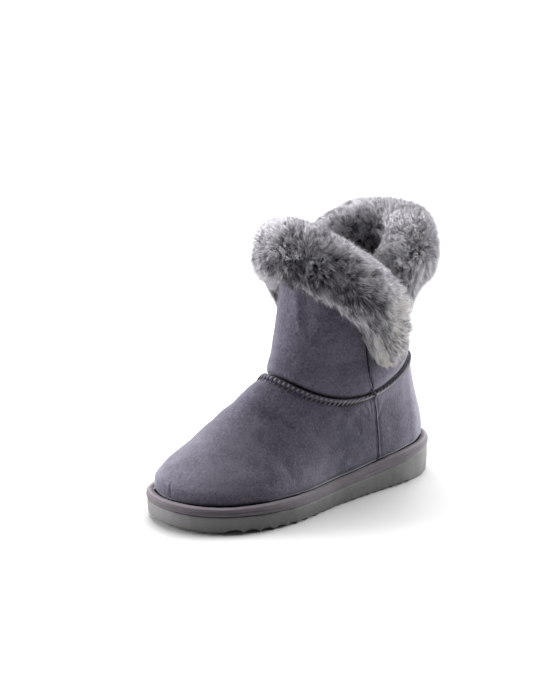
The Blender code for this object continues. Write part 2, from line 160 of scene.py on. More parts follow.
LUGS = (
    # number from the heel, distance from the heel (mm), rise (mm): the scallops in the outsole's lower edge
    (0, 47.0, 1.6),
    (2, 65.0, 1.3),
    (5, 92.0, 1.3),
    (10, 135.5, 1.3),
    (14, 178.0, 2.0),
    (16, 201.5, 2.8),
    (18, 226.5, 3.0),
)
LUG_REACH = 0.0090
INNER_HEM = (
    # share, how much lower the front cuff's hem hangs on the inner side (mm)
    (0.00, 0.0),
    (0.50, 0.0),
    (0.545, 8.0),
    (0.58, 14.0),
    (0.62, 10.0),
    (0.68, 0.0),
    (1.00, 0.0),
)
INNER_CREST = (
    # share, how much higher the back cuff stands on the inner side (mm)
    (0.00, 0.0),
    (0.15, 0.0),
    (0.26, 3.0),
    (0.34, 5.0),
    (0.52, 5.0),
    (1.00, 5.0),
)

RIDGE = (
    # distance below the shaft, height (mm): the rolled ankle seam
    (0.0, -1.4),
    (1.0, -1.0),
    (1.15, 0.3),
    (1.5, 1.0),
    (2.1, 1.45),
    (2.9, 1.55),
    (3.8, 1.35),
    (4.6, 0.9),
    (5.2, 0.4),
    (5.8, -0.4),
)
STITCH_PITCH = 4.0 * MM
THREAD = 0.42 * MM  # radius
THREAD_SIDES = 6
FOLD_POINTS = 40
FOLD_SIDES = 12
ANKLE_ENDS = (21.8, 157.0)  # from_heel of the shaft's foot, at the back and the front (mm)
SLANT = 0.12  # of the stitches

# The creases, as soft troughs (depth above 0) and ridges (below 0). Each runs through three points.
CREASES = (
    # ((x, from_heel, height) three times, mm), half width mm, depth mm
    (((-8.6, 253.0, 37.5), (-6.6, 255.0, 32.0), (-5.2, 255.5, 26.0)), 0.7, 0.55),
    (((-10.4, 252.0, 36.0), (-8.6, 254.0, 31.0), (-7.4, 255.0, 26.0)), 1.8, -0.3),
    (((-34.0, 172.0, 74.0), (0.0, 186.0, 88.0), (34.0, 166.0, 74.0)), 8.0, 0.9),
    (((44.0, 176.0, 38.0), (34.0, 188.0, 62.0), (12.0, 200.0, 76.0)), 5.0, 0.5),
    (((43.0, 196.0, 34.0), (34.0, 208.0, 52.0), (12.0, 220.0, 62.0)), 5.5, 0.45),
    (((-46.0, 178.0, 38.0), (-36.0, 192.0, 62.0), (-14.0, 202.0, 76.0)), 5.0, 0.6),
    (((-47.0, 198.0, 34.0), (-38.0, 212.0, 52.0), (-16.0, 222.0, 62.0)), 5.5, 0.5),
    (((39.0, 122.0, 84.0), (40.0, 108.0, 72.0), (41.0, 98.0, 56.0)), 7.0, 0.7),
    (((38.0, 92.0, 84.0), (38.0, 88.5, 78.0), (38.0, 86.5, 70.0)), 0.9, 0.55),
    (((38.0, 97.0, 80.0), (38.0, 93.0, 75.0), (38.0, 90.0, 70.0)), 1.2, 0.45),
    (((38.0, 103.0, 76.0), (38.0, 96.0, 70.0), (38.0, 88.0, 64.0)), 2.2, 0.5),
    (((37.0, 70.0, 78.0), (37.0, 74.5, 70.0), (37.0, 77.5, 62.0)), 1.6, 0.45),
    (((36.0, 64.0, 52.0), (37.0, 56.0, 47.0), (36.0, 46.0, 46.0)), 4.0, 0.4),
    (((38.0, 118.0, 40.0), (38.0, 108.0, 44.0), (38.0, 96.0, 42.0)), 4.5, 0.4),
    (((-38.0, 120.0, 84.0), (-40.0, 108.0, 72.0), (-41.0, 98.0, 58.0)), 6.0, 0.7),
    (((-38.0, 92.0, 84.0), (-38.0, 88.5, 78.0), (-38.0, 86.5, 70.0)), 0.9, 0.5),
    (((8.0, 140.0, 182.0), (10.0, 141.5, 164.0), (14.0, 142.5, 147.0)), 4.2, -0.9),
    (((17.0, 139.5, 178.0), (19.0, 140.5, 160.0), (23.0, 141.0, 140.0)), 5.5, 0.8),
    (((-20.0, 139.0, 168.0), (-17.0, 141.0, 152.0), (-18.0, 144.0, 136.0)), 4.0, 0.7),
    (((30.0, 140.0, 122.0), (37.0, 122.0, 116.0), (40.0, 104.0, 119.0)), 5.0, 0.7),
    (((-24.0, 146.0, 120.0), (-34.0, 130.0, 114.0), (-40.0, 108.0, 118.0)), 5.0, 0.8),
    (((-16.0, 26.0, 132.0), (0.0, 22.0, 128.0), (18.0, 26.0, 134.0)), 5.0, 0.8),
)
CREASE_POINTS = 15
CREASE_REACH = 9 * MM  # a crease further than this from a surface isn't on it
# The seam down each side, read from the sole up.
SIDE_SEAM = (
    # height, from_heel (mm)
    (24.0, 75.4),
    (45.0, 78.2),
    (71.0, 81.2),
    (95.0, 88.9),
    (120.0, 94.0),
    (150.0, 98.0),
)


# ---------------------------------------------------------------- curves
def smooth(rows, column, at):
    """A column of a table, read against its first column by a cubic that never overshoots its rows."""
    x = np.array([row[0] for row in rows], float)
    y = np.array([row[column] for row in rows], float)
    step = np.diff(x)
    slope = np.diff(y) / step
    tangent = np.zeros_like(y)
    for k in range(1, len(x) - 1):
        before, after = slope[k - 1], slope[k]
        if before * after > 0:
            w1 = 2 * step[k] + step[k - 1]
            w2 = step[k] + 2 * step[k - 1]
            tangent[k] = (w1 + w2) / (w1 / before + w2 / after)
    tangent[0], tangent[-1] = slope[0], slope[-1]
    at = np.clip(np.asarray(at, float), x[0], x[-1])
    k = np.clip(np.searchsorted(x, at, side="right") - 1, 0, len(step) - 1)
    t = (at - x[k]) / step[k]
    value = y[k] * (1 + 2 * t) * (1 - t) ** 2 + y[k + 1] * t * t * (3 - 2 * t)
    return value + step[k] * (tangent[k] * t * (1 - t) ** 2 + tangent[k + 1] * t * t * (t - 1))


def hill(value, middle, width):
    """A bell that is 1 at middle."""
    return np.exp(-(((value - middle) / width) ** 2))


def hills(value, rows):
    """The sum of some bells, each given as its height, middle and width."""
    return sum(height * hill(value, middle, width) for height, middle, width in rows)


def ramp(value, start, end):
    """0 up to start, 1 from end on, straight between."""
    return np.clip((value - start) / (end - start), 0, 1)


def unit(vectors):
    return vectors / (np.linalg.norm(vectors, axis=-1)[..., None] + 1e-12)


def outline_half(along):
    squares = [(row[0], row[2] ** 2) for row in OUTLINE]
    return np.sqrt(np.maximum(smooth(squares, 1, along), 0))


def side_of(u):
    return np.where(np.sin(u) >= -1e-9, 1.0, -1.0)


def along_of(u):
    """How far along a loop is, from its back (0) to its front (1), at an angle."""
    return (1 - np.cos(u)) / 2


def y_of(from_heel):
    return SOLE_LENGTH / 2 - from_heel


def heel_distance(points):
    """How far points are from the back of the sole towards the toe."""
    return SOLE_LENGTH / 2 - points[..., 1]


def angles(columns):
    return np.arange(columns) * 2 * np.pi / columns


def spring(from_heel):
    """How far the sole has risen off the floor towards the toe."""
    t = np.clip((from_heel / SOLE_LENGTH - SPRING_START) / (1 - SPRING_START), 0, 1.05)
    return TOE_SPRING * t**2


def tread_top(from_heel):
    return smooth(SOLE_HEIGHTS, 1, from_heel / MM) * MM + spring(from_heel)


def midsole_top(from_heel):
    return smooth(SOLE_HEIGHTS, 2, from_heel / MM) * MM + spring(from_heel)


def upper_base(from_heel):
    share = from_heel / SOLE_LENGTH
    return UPPER_BASE_HEEL + (UPPER_BASE_TOE - UPPER_BASE_HEEL) * share + spring(from_heel)


def sole_plan(u):
    """The sole's outline as (x, distance from the heel), and its outward normals."""
    along = along_of(u)
    x = BALL_WIDTH * (smooth(OUTLINE, 1, along) + side_of(u) * outline_half(along))
    loop = np.stack([x, SOLE_LENGTH * along], 1)
    tangent = np.roll(loop, -1, 0) - np.roll(loop, 1, 0)
    normal = unit(np.stack([-tangent[:, 1], tangent[:, 0]], 1))
    return loop, normal * np.sign(((loop - loop.mean(0)) * normal).sum())


def level_rise(along, back, front, sag):
    """How high one of the upper's levels stands above its base, from its rises at the back and front (mm)."""
    skewed = along**SAG_SKEW
    return back + (front - back) * along - sag * 4 * skewed * (1 - skewed)


def upper_surface(levels, u):
    """The upper's outside as a grid of points, a row for each level. Each row can have angles of its own."""
    u = np.atleast_2d(u)
    row = [smooth(UPPER, column, levels)[:, None] for column in range(1, 8)]
    back, front, half, round_share = row[:4]
    along = along_of(u)
    side = side_of(u)
    widest = max(row[2] for row in OUTLINE)
    oval = (1 - round_share) * outline_half(along) / widest + round_share * np.sin(u) * side
    centre = BALL_WIDTH * smooth(OUTLINE, 1, along) * (1 - round_share)
    from_heel = (back + (front - back) * along) * MM
    rise = level_rise(along, *row[4:])
    base = upper_base(from_heel)
    wave = (midsole_top(from_heel) - base) * np.maximum(0, 1 - levels / CREASE_FADE)[:, None] ** 2
    return np.stack([centre + side * half * MM * oval, y_of(from_heel), base + wave + rise * MM], 2)


def seam_height(y):
    """The ankle seam's height, where the upper's top edge and the shaft's foot meet."""
    top = UPPER[-1]
    from_heel = SOLE_LENGTH / 2 - y
    return upper_base(from_heel) + level_rise(ramp(from_heel / MM, top[1], top[2]), *top[5:]) * MM


def shaft_points(height, u):
    """Points of the shaft's outside at these heights and angles."""
    back, front, half = (smooth(SHAFT, column, height / MM) * MM for column in range(1, 4))
    return np.stack([half * np.sin(u), y_of(back + (front - back) * along_of(u)), height], -1)


def wall_points(u, height, offset=0.0):
    """Points on the shaft's outside, moved level and outwards by offset."""
    tiny = 1e-3
    here = shaft_points(height, u)
    tangent = shaft_points(height, u + tiny) - shaft_points(height, u - tiny)
    normal = unit(np.stack([-tangent[..., 1], tangent[..., 0], np.zeros_like(tangent[..., 0])], -1))
    outer = np.stack([np.sin(u), np.cos(u), np.zeros_like(u)], -1)
    normal *= np.sign((normal * outer).sum(-1))[..., None]
    return here + np.asarray(offset)[..., None] * normal


def collar_height(u):
    share = 1 - np.abs(1 - (u % (2 * np.pi)) / np.pi)
    return smooth(COLLAR, 1, share) * MM


# ---------------------------------------------------------------- relief
def waves(points, wavelength, seed, count=28):
    """A soft random field over points, about -1 to 1, made of plane waves."""
    rng = np.random.default_rng(seed)
    way = unit(rng.normal(size=(count, 3)))
    way *= 2 * np.pi / (wavelength * rng.uniform(0.7, 1.5, (count, 1)))
    phase = rng.uniform(0, 2 * np.pi, count)
    total = np.zeros(points.shape[:-1])
    for k in range(count):
        total += np.sin(points @ way[k] + phase[k])
    return total / np.sqrt(count)


def grid_normals(grid):
    """Outward unit normals of a grid of points whose rows are closed loops."""
    around = np.roll(grid, -1, 1) - np.roll(grid, 1, 1)
    up = np.gradient(grid, axis=0)
    normal = unit(np.cross(up, around))
    if ((grid - grid.mean(1)[:, None]) * normal).sum() < 0:
        normal = -normal
    return normal


def crease_path(line):
    """A curve through three places given in millimetres as (x, from_heel, height)."""
    a, b, c = (np.array([x * MM, y_of(from_heel * MM), height * MM]) for x, from_heel, height in line)
    middle = 2 * b - (a + c) / 2
    t = np.linspace(0, 1, CREASE_POINTS)[:, None]
    return a * (1 - t) ** 2 + 2 * middle * t * (1 - t) + c * t**2


def crease_relief(grid):
    """How far each point of a grid moves out, from the creases that run over it."""
    relief = np.zeros(grid.shape[:2])
    flat = grid.reshape(-1, 3)
    for line, width, depth in CREASES:
        path = crease_path(line)
        on = flat[[np.argmin(((flat - place) ** 2).sum(1)) for place in path]]
        if np.linalg.norm(on - path, axis=1).mean() > CREASE_REACH:
            continue
        for _ in range(4):
            on[1:-1] = (on[:-2] + 2 * on[1:-1] + on[2:]) / 4
        best = np.full(len(flat), np.inf)
        for k in range(len(on) - 1):
            way = on[k + 1] - on[k]
            t = np.clip(((flat - on[k]) @ way) / max(way @ way, 1e-12), 0, 1)
            share = (k + t) / (len(on) - 1)
            narrowing = 1 + 40 * np.maximum(np.abs(share - 0.5) - 0.25, 0) ** 2
            away = np.linalg.norm(flat - on[k] - t[:, None] * way, axis=1)
            best = np.minimum(best, away * narrowing)
        relief -= depth * MM * hill(best, 0, width * MM).reshape(relief.shape)
    return relief


def seam_angle(place):
    """Where the outer side seam crosses a row, as its angle, and the length of row to a radian there.

    place gives the row's point at an angle."""
    low, high = 0.3, 2.4
    for _ in range(22):
        u = (low + high) / 2
        point = place(u)
        if heel_distance(point) < smooth(SIDE_SEAM, 1, point[2] / MM) * MM:
            low = u
        else:
            high = u
    return u, np.linalg.norm(place(u + 0.01) - place(u)) / 0.01


# where the columns beside the seam lie, towards the toe from it (mm)
NEAR_SEAM = np.array(
    [-7, -5.6, -4.5, -3.6, -2.9, -2.3, -1.8, -1.4, -1.05, -0.75, -0.5, -0.25, 0, 0.25, 0.5]
    + [0.75, 1.05, 1.4, 1.8, 2.3, 2.9, 3.6, 4.4, 5.2, 6.0, 6.9, 7.8, 8.8, 10, 11.5]
)


def row_angles(place, heel, toe):
    """The angles of one row's columns, which gather along both side seams.

    heel and toe say how many there are on each side of the outer seam."""
    seam, speed = seam_angle(place)
    near = seam + NEAR_SEAM * MM / speed
    back = np.linspace(0, near[0], heel, endpoint=False)
    outer = np.concatenate([back, near, np.linspace(near[-1], np.pi, toe)[1:]])
    return np.concatenate([outer, 2 * np.pi - outer[-2:0:-1]])


def seam_offsets(heel, toe):
    """For each column of such a row, how far towards the toe it is from the side seam, in millimetres."""
    outer = np.concatenate([np.full(heel, -99.0), NEAR_SEAM, np.full(toe - 1, 99.0)])
    return np.concatenate([outer, outer[-2:0:-1]])


def crease_bottoms(relief):
    """How much painted shade darkens the deepest parts of a relief."""
    return 0.30 * np.clip(-relief / MM - 0.35, 0, 0.6)


# ---------------------------------------------------------------- meshes
def build_object(name, vertices, quads=None, triangles=None, material=None):
    """A smooth-shaded mesh object from arrays of points and faces."""
    quads = np.zeros((0, 4), np.int32) if quads is None else np.asarray(quads, np.int32)
    triangles = np.zeros((0, 3), np.int32) if triangles is None else np.asarray(triangles, np.int32)
    mesh = bpy.data.meshes.new(name)
    mesh.vertices.add(len(vertices))
    mesh.vertices.foreach_set("co", np.asarray(vertices, np.float32).ravel())
    corners = np.concatenate([quads.ravel(), triangles.ravel()])
    mesh.loops.add(len(corners))
    mesh.loops.foreach_set("vertex_index", corners)
    counts = np.concatenate([np.full(len(quads), 4), np.full(len(triangles), 3)])
    mesh.polygons.add(len(counts))
    mesh.polygons.foreach_set("loop_start", np.concatenate([[0], np.cumsum(counts)[:-1]]).astype(np.int32))
    mesh.update(calc_edges=True)
    mesh.validate()
    mesh.shade_smooth()
    if material:
        mesh.materials.append(material)
    made = bpy.data.objects.new(name, mesh)
    bpy.context.scene.collection.objects.link(made)
    return made


def grid_quads(rows, columns, closed=True, flip=False):
    """Faces between neighbouring points of a grid. With closed each row joins up into a loop."""
    r = np.arange(rows - 1)[:, None] * columns
    c = np.arange(columns if closed else columns - 1)[None, :]
    d = (c + 1) % columns
    quads = np.stack([r + c, r + d, r + columns + d, r + columns + c], 2).reshape(-1, 4)
    return quads[:, ::-1] if flip else quads


def cap_faces(first, columns, up):
    """Faces across a loop from its outer to its inner side."""
    faces = []
    for c in range(columns // 2):
        quad = [first + k % columns for k in (c, c + 1, columns - c - 1, columns - c)]
        faces.append(list(dict.fromkeys(quad if up else quad[::-1])))
    return ([face for face in faces if len(face) == corners] for corners in (4, 3))


def grid_object(name, grid, material, closed=True, flip=False, caps=False):
    """A mesh over a grid of points. With caps, its first and last rows are closed as well."""
    rows, columns = grid.shape[:2]
    quads, triangles = grid_quads(rows, columns, closed, flip), None
    if caps:
        low_quads, low_triangles = cap_faces(0, columns, up=False)
        high_quads, high_triangles = cap_faces((rows - 1) * columns, columns, up=True)
        quads = np.concatenate([quads, low_quads, high_quads])
        triangles = low_triangles + high_triangles
    return build_object(name, grid.reshape(-1, 3), quads, triangles, material)


def tubes(paths, radii, normals, sides, flatten=1.0):
    """Vertices and quads of threads, round or flattened. paths is (threads, points, 3)."""
    tangent = unit(np.gradient(paths, axis=1))
    across = unit(np.cross(tangent, normals))
    up = flatten * np.cross(across, tangent)
    turn = angles(sides)[:, None]
    ring = across[:, :, None] * np.cos(turn) + up[:, :, None] * np.sin(turn)
    vertices = paths[:, :, None] + ring * radii[:, :, None, None]
    count, points = paths.shape[:2]
    one = grid_quads(points, sides)
    quads = (one[None] + np.arange(count)[:, None, None] * points * sides).reshape(-1, 4)
    return vertices.reshape(-1, 3), quads


def drop_empty_faces(piece):
    """Joins points that lie on each other, so that no face is without area."""
    form = bmesh.new()
    form.from_mesh(piece.data)
    bmesh.ops.dissolve_degenerate(form, dist=1e-6, edges=form.edges)
    form.to_mesh(piece.data)
    form.free()


def paint(piece, **layers):
    """Gives a piece's vertices numbers that its material reads."""
    for name, values in layers.items():
        layer = piece.data.attributes.new(name, "FLOAT", "POINT")
        layer.data.foreach_set("value", np.asarray(values, np.float32).ravel())


def finish_piece(piece, slot, *nodes):
    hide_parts(*nodes)
    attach(piece, "root")
    return piece


# ---------------------------------------------------------------- materials
class Nodes:
    """A short way to write a material's nodes. A value is a number or another node's output."""

    def __init__(self, name, roughness, specular):
        self.material = bpy.data.materials.new(name)
        self.material.use_nodes = True
        self.tree = self.material.node_tree
        self.shader = self.tree.nodes["Principled BSDF"]
        self.shader.inputs["Roughness"].default_value = roughness
        self.shader.inputs["Specular IOR Level"].default_value = specular
        self.place = self.add("ShaderNodeTexCoord").outputs["Object"]

    def add(self, kind, inputs=None, **values):
        node = self.tree.nodes.new(kind)
        for name, value in values.items():
            setattr(node, name, value)
        for name, value in (inputs or {}).items():
            self.link(value, node.inputs[name])
        return node

    def link(self, value, socket):
        if isinstance(value, bpy.types.NodeSocket):
            self.tree.links.new(value, socket)
        else:
            socket.default_value = value

    def stretched(self, scale, turn=(0, 0, 0)):
        inputs = {"Vector": self.place, "Scale": scale, "Rotation": turn}
        return self.add("ShaderNodeMapping", inputs).outputs["Vector"]

    def noise(self, scale, detail=4.0, rough=0.55, at=None, distortion=0.0):
        inputs = {"Vector": at or self.place, "Scale": scale, "Detail": detail, "Roughness": rough}
        return self.add("ShaderNodeTexNoise", {**inputs, "Distortion": distortion}).outputs["Fac"]

    def cells(self, scale):
        return self.add("ShaderNodeTexVoronoi", {"Vector": self.place, "Scale": scale}).outputs["Distance"]

    def remap(self, value, low, high, to_low=0.0, to_high=1.0, soft=True):
        inputs = {"Value": value, "From Min": low, "From Max": high, "To Min": to_low, "To Max": to_high}
        kind = "SMOOTHSTEP" if soft else "LINEAR"
        return self.add("ShaderNodeMapRange", inputs, interpolation_type=kind).outputs["Result"]

    def maths(self, operation, *values):
        return self.add("ShaderNodeMath", dict(enumerate(values)), operation=operation).outputs[0]

    def total(self, *parts):
        """The sum of some values, each given with its weight."""
        result = 0.0
        for value, weight in parts:
            result = self.maths("MULTIPLY_ADD", value, weight, result)
        return result

    def mix(self, share, a, b, blend="MIX"):
        a, b = ((*value, 1) if isinstance(value, tuple) else value for value in (a, b))
        node = self.add("ShaderNodeMix", {0: share, 6: a, 7: b}, data_type="RGBA", blend_type=blend)
        return node.outputs[2]

    def tint(self, base, colour, most, value, low, high):
        """base with up to this much of a colour in it, none where value is at low and all of it at high."""
        return self.mix(self.remap(value, low, high, 0.0, most), base, colour)

    def attribute(self, name):
        return self.add("ShaderNodeAttribute", attribute_name=name).outputs["Fac"]

    def axes(self):
        return self.add("ShaderNodeSeparateXYZ", {0: self.place}).outputs

    def bump(self, value, distance, strength):
        node = self.add("ShaderNodeBump", {"Distance": distance, "Strength": strength, "Height": value})
        self.link(node.outputs["Normal"], self.shader.inputs["Normal"])

    def colour(self, value):
        self.link(value, self.shader.inputs["Base Color"])

    def shaded(self, base, pale):
        """Colours the piece with painted shade where its shade is above nothing, and with a painted highlight
        in the pale colour where it is below.
        """
        shade = self.attribute("shade")
        base = self.mix(self.maths("MULTIPLY", shade, -1.0), base, pale)
        self.colour(self.mix(shade, base, SHADOW))

    def sheen(self, weight, roughness, tint):
        self.shader.inputs["Sheen Weight"].default_value = weight
        self.shader.inputs["Sheen Roughness"].default_value = roughness
        self.shader.inputs["Sheen Tint"].default_value = (*tint, 1)


SUEDE_DARK = (0.036, 0.033, 0.046)
SUEDE_MID = (0.068, 0.062, 0.087)
SUEDE_LIGHT = (0.135, 0.126, 0.163)
# painted highlight colour, for where a piece's shade goes below nothing
SUEDE_HIGHLIGHT = (0.26, 0.25, 0.29)
SHADOW = (0.010, 0.009, 0.013)


def suede_material():
    """Brushed suede: cloudy where the nap lies another way, speckled by the brush, with painted shade in its
    seams, creases and joints and painted highlights on its lit edges and lips.
    """
    n = Nodes("suede", 1.0, 0.10)
    n.sheen(0.85, 0.36, (0.80, 0.78, 0.88))
    clouds = n.noise(24, 3, 0.55, distortion=0.8)
    brushed = n.noise(120, 4, 0.65, n.stretched((1.0, 0.8, 1.0), (0.4, 0.0, 0.5)))
    speckle = n.noise(520, 4, 0.7)
    grain = n.noise(1300, 2, 0.6)
    base = n.mix(n.remap(n.total((clouds, 0.5), (brushed, 0.5)), 0.36, 0.64), SUEDE_DARK, SUEDE_LIGHT)
    base = n.mix(0.58, base, SUEDE_MID)
    base = n.tint(base, SUEDE_LIGHT, 0.75, speckle, 0.52, 0.68)
    base = n.tint(base, SUEDE_DARK, 0.75, speckle, 0.48, 0.34)
    base = n.tint(base, SUEDE_LIGHT, 0.35, grain, 0.55, 0.75)
    # painted shade: thin dark crease lines towards the toe
    ridge = n.maths("ABSOLUTE", n.maths("SUBTRACT", n.noise(300, 2, 0.5, distortion=1.2), 0.5))
    at_toe = n.remap(n.axes()[1], -0.015, -0.07)
    base = n.mix(n.maths("MULTIPLY", n.remap(ridge, 0.05, 0.0, 0.0, 0.55), at_toe), base, SUEDE_DARK)
    base = n.tint(base, SUEDE_LIGHT, 0.18, n.noise(9, 2, 0.5), 0.42, 0.62)
    # painted shade and painted highlights, from each piece's shade
    n.shaded(base, SUEDE_HIGHLIGHT)
    n.bump(n.total((speckle, 0.9), (grain, 0.5), (brushed, 0.12)), 0.0006, 0.8)
    return n.material


def thread_material():
    """Thread that is dark, and paler towards the end of each stitch."""
    n = Nodes("thread", 0.8, 0.3)
    twist = n.noise(900, 2, 0.5, n.stretched((1, 1, 0.4)))
    dark = n.mix(twist, (0.012, 0.012, 0.016), (0.045, 0.043, 0.052))
    pale = n.mix(twist, (0.22, 0.215, 0.235), (0.42, 0.41, 0.43))
    n.colour(n.mix(n.attribute("wear"), dark, pale))
    n.sheen(0.3, 0.4, (0.8, 0.8, 0.85))
    n.bump(twist, 0.0002, 0.6)
    return n.material


def band_material():
    """The wrapped band: thin sheet with fine lengthwise wrinkles."""
    n = Nodes("midsole_wrap", 0.75, 0.3)
    streaks = n.noise(40, 4, 0.6, n.stretched((1, 1, 14)))
    base = n.mix(n.remap(streaks, 0.38, 0.66), (0.074, 0.062, 0.075), (0.093, 0.079, 0.094))
    base = n.tint(base, (0.078, 0.068, 0.078), 0.4, n.noise(45, 3, 0.6), 0.4, 0.7)
    base = n.tint(base, (0.17, 0.15, 0.17), 0.4, n.noise(700, 3, 0.6), 0.55, 0.75)
    # painted shade and, in the pale colour, painted highlights from the band's shade
    n.shaded(base, (0.30, 0.26, 0.29))
    n.sheen(0.35, 0.45, (0.8, 0.75, 0.8))
    n.bump(n.total((streaks, 1), (n.noise(1200, 3, 0.6), 0.4)), 0.0005, 0.6)
    return n.material


def outsole_material():
    """Foam rubber with a fine moulded skin, with painted highlights towards the heel and the toe, and greener
    at the tread.
    """
    n = Nodes("outsole_foam", 0.55, 0.4)
    _, y, z = n.axes()
    patches = n.noise(38, 4, 0.6)
    base = n.mix(n.remap(patches, 0.3, 0.72), (0.068, 0.069, 0.066), (0.102, 0.102, 0.099))
    base = n.tint(base, (0.088, 0.083, 0.090), 0.5, n.noise(16, 2, 0.5), 0.45, 0.62)
    flashes = n.noise(30, 3, 0.5, n.stretched((1, 3.2, 0.4)))
    base = n.tint(base, (0.20, 0.20, 0.20), 0.14, flashes, 0.64, 0.72)
    # painted highlights: paler towards the heel and towards the toe
    base = n.tint(base, (0.165, 0.163, 0.160), 0.60, y, 0.06, 0.130)
    base = n.tint(base, (0.150, 0.144, 0.152), 0.65, y, -0.05, -0.12)
    base = n.tint(base, (0.155, 0.155, 0.152), 0.40, n.noise(850, 3, 0.7), 0.50, 0.66)
    base = n.tint(base, (0.066, 0.072, 0.062), 0.40, z, 0.012, 0.002)
    scuffs = n.noise(110, 6, 0.75, n.stretched((1, 0.35, 2.5)))
    base = n.tint(base, (0.20, 0.20, 0.195), 0.35, scuffs, 0.60, 0.78)
    n.colour(n.mix(n.attribute("shade"), base, SHADOW))
    n.link(n.remap(patches, 0.3, 0.7, 0.48, 0.68), n.shader.inputs["Roughness"])
    n.bump(n.total((n.noise(1300, 3, 0.6), 1), (patches, 0.6)), 0.0004, 0.45)
    return n.material


def fleece_material():
    """The lining and insole: short curly pile."""
    n = Nodes("fleece", 0.98, 0.1)
    curls = n.cells(330)
    clumps = n.noise(210, 4, 0.7, distortion=1.5)
    base = n.mix(n.remap(clumps, 0.32, 0.70), (0.035, 0.034, 0.039), (0.170, 0.164, 0.176))
    n.colour(n.mix(n.remap(curls, 0.0, 0.6, 0.35, 0.0), base, (0.22, 0.21, 0.225)))
    n.sheen(0.5, 0.5, (0.8, 0.8, 0.83))
    n.bump(n.maths("SUBTRACT", clumps, curls), 0.0022, 0.8)
    return n.material


def fur_base_material():
    """The backing that the pile stands on, matted, and dark as painted shade deep in the pile."""
    n = Nodes("fur_base", 1.0, 0.05)
    n.colour(n.mix(n.noise(400, 4, 0.7), (0.020, 0.019, 0.022), (0.075, 0.072, 0.080)))
    n.bump(n.noise(700, 3, 0.7), 0.002, 0.8)
    return n.material


def fur_material():
    """Pile that is dark at the roots, partly as painted shade deep in the pile, and pale at the tips.
    Its tone varies it at random from strand to strand, and over the cuff as painted light: paler on the
    crest and the lit bulge, darker over the belt and between the tufts.
    """
    n = Nodes("fur", 0.8, 0.2)
    along = n.attribute("along")
    tone = n.attribute("tone")
    up = n.total((along, 1), (tone, 0.6), (n.remap(tone, 0.50, 0.85, 0.0, 0.22, soft=False), 1))
    low = n.mix(n.remap(up, 0.42, 1.00), (0.026, 0.023, 0.032), (0.215, 0.202, 0.234))
    shade = n.mix(n.remap(up, 0.84, 1.42), low, (0.54, 0.53, 0.56))
    # painted shade: low tones darken the pile, over the dark belt and at the tufts' edges
    darker = n.mix(1.0, shade, (0.34, 0.335, 0.36), "MULTIPLY")
    darker = n.mix(n.remap(along, 0.80, 1.0, 0.0, 0.55), darker, shade)
    warm = n.mix(1.0, shade, (1.18, 1.12, 0.95), "MULTIPLY")
    base = n.mix(n.remap(tone, 0.0, 0.6, soft=False), darker, shade)
    # painted highlight: the palest tones are brightened further
    base = n.mix(n.remap(tone, 0.70, 0.85), base, n.mix(1.0, base, (1.18, 1.18, 1.18), "MULTIPLY"))
    n.colour(n.mix(n.remap(tone, 0.84, 0.96), base, warm))
    n.sheen(0.25, 0.4, (0.9, 0.9, 0.92))
    return n.material


# ---------------------------------------------------------------- suede upper and shaft
def arc_from_foot(grid):
    """Distance up each column of a grid from its first row."""
    steps = np.linalg.norm(np.diff(grid, axis=0), axis=2)
    return np.concatenate([np.zeros((1, grid.shape[1])), np.cumsum(steps, axis=0)])


def arc_from_top(grid):
    return arc_from_foot(grid[::-1])[::-1]


def girth(loop):
    """Distance round a closed loop of points to each of them, and its whole length."""
    steps = np.linalg.norm(np.roll(loop, -1, 0) - loop, axis=1)
    return np.concatenate([[0], np.cumsum(steps)[:-1]]), steps.sum()


# Across the side seam, as (height or darkness, middle, width) in millimetres towards the toe: on the upper a
# groove between two lips, on the shaft a wide groove under one lip. The darkness is painted shade in the
# grooves; below nothing it is a painted highlight on the lips.
UPPER_SEAM_RELIEF = (
    (0.30, 0.75, 0.32),
    (0.14, -0.8, 0.4),
    (-0.75, 0, 0.38),
    (-0.28, -2.6, 1.2),
    (-0.15, 2.2, 0.9),
)
UPPER_SEAM_SHADE = ((1.0, 0, 0.45), (0.20, -2.4, 1.4), (-0.60, 0.75, 0.26), (-0.15, -0.9, 0.3))
SHAFT_SEAM_RELIEF = ((0.45, 1.4, 0.5), (-1.3, -0.2, 0.8))
SHAFT_SEAM_SHADE = ((1.0, -0.3, 0.75), (0.25, 0, 3.0), (-0.40, 1.4, 0.4))
TOE_JOINT = (0.17, 0.22)  # from_heel (m) over which the dark joint above the sole grows finer
# how many points there are round each piece; the upper and shaft have (heel, toe) numbers for row_angles
UPPER_COLUMNS = (46, 190)
SHAFT_COLUMNS = (40, 130)
LINING_COLUMNS = 180
ANKLE_SEAM_COLUMNS = 1200
OUTSOLE_COLUMNS = 900
BAND_COLUMNS = 640
INSOLE_COLUMNS = 200
BAND_PROFILE = (
    # share up the band, inset (mm)
    (0.00, 0.4),
    (0.02, -0.6),
    (0.20, -0.95),
    (0.45, -0.95),
    (0.70, -0.55),
    (0.87, 0.4),
    (0.96, 1.7),
    (0.97, 3.2),
    (0.90, 5.2),
)


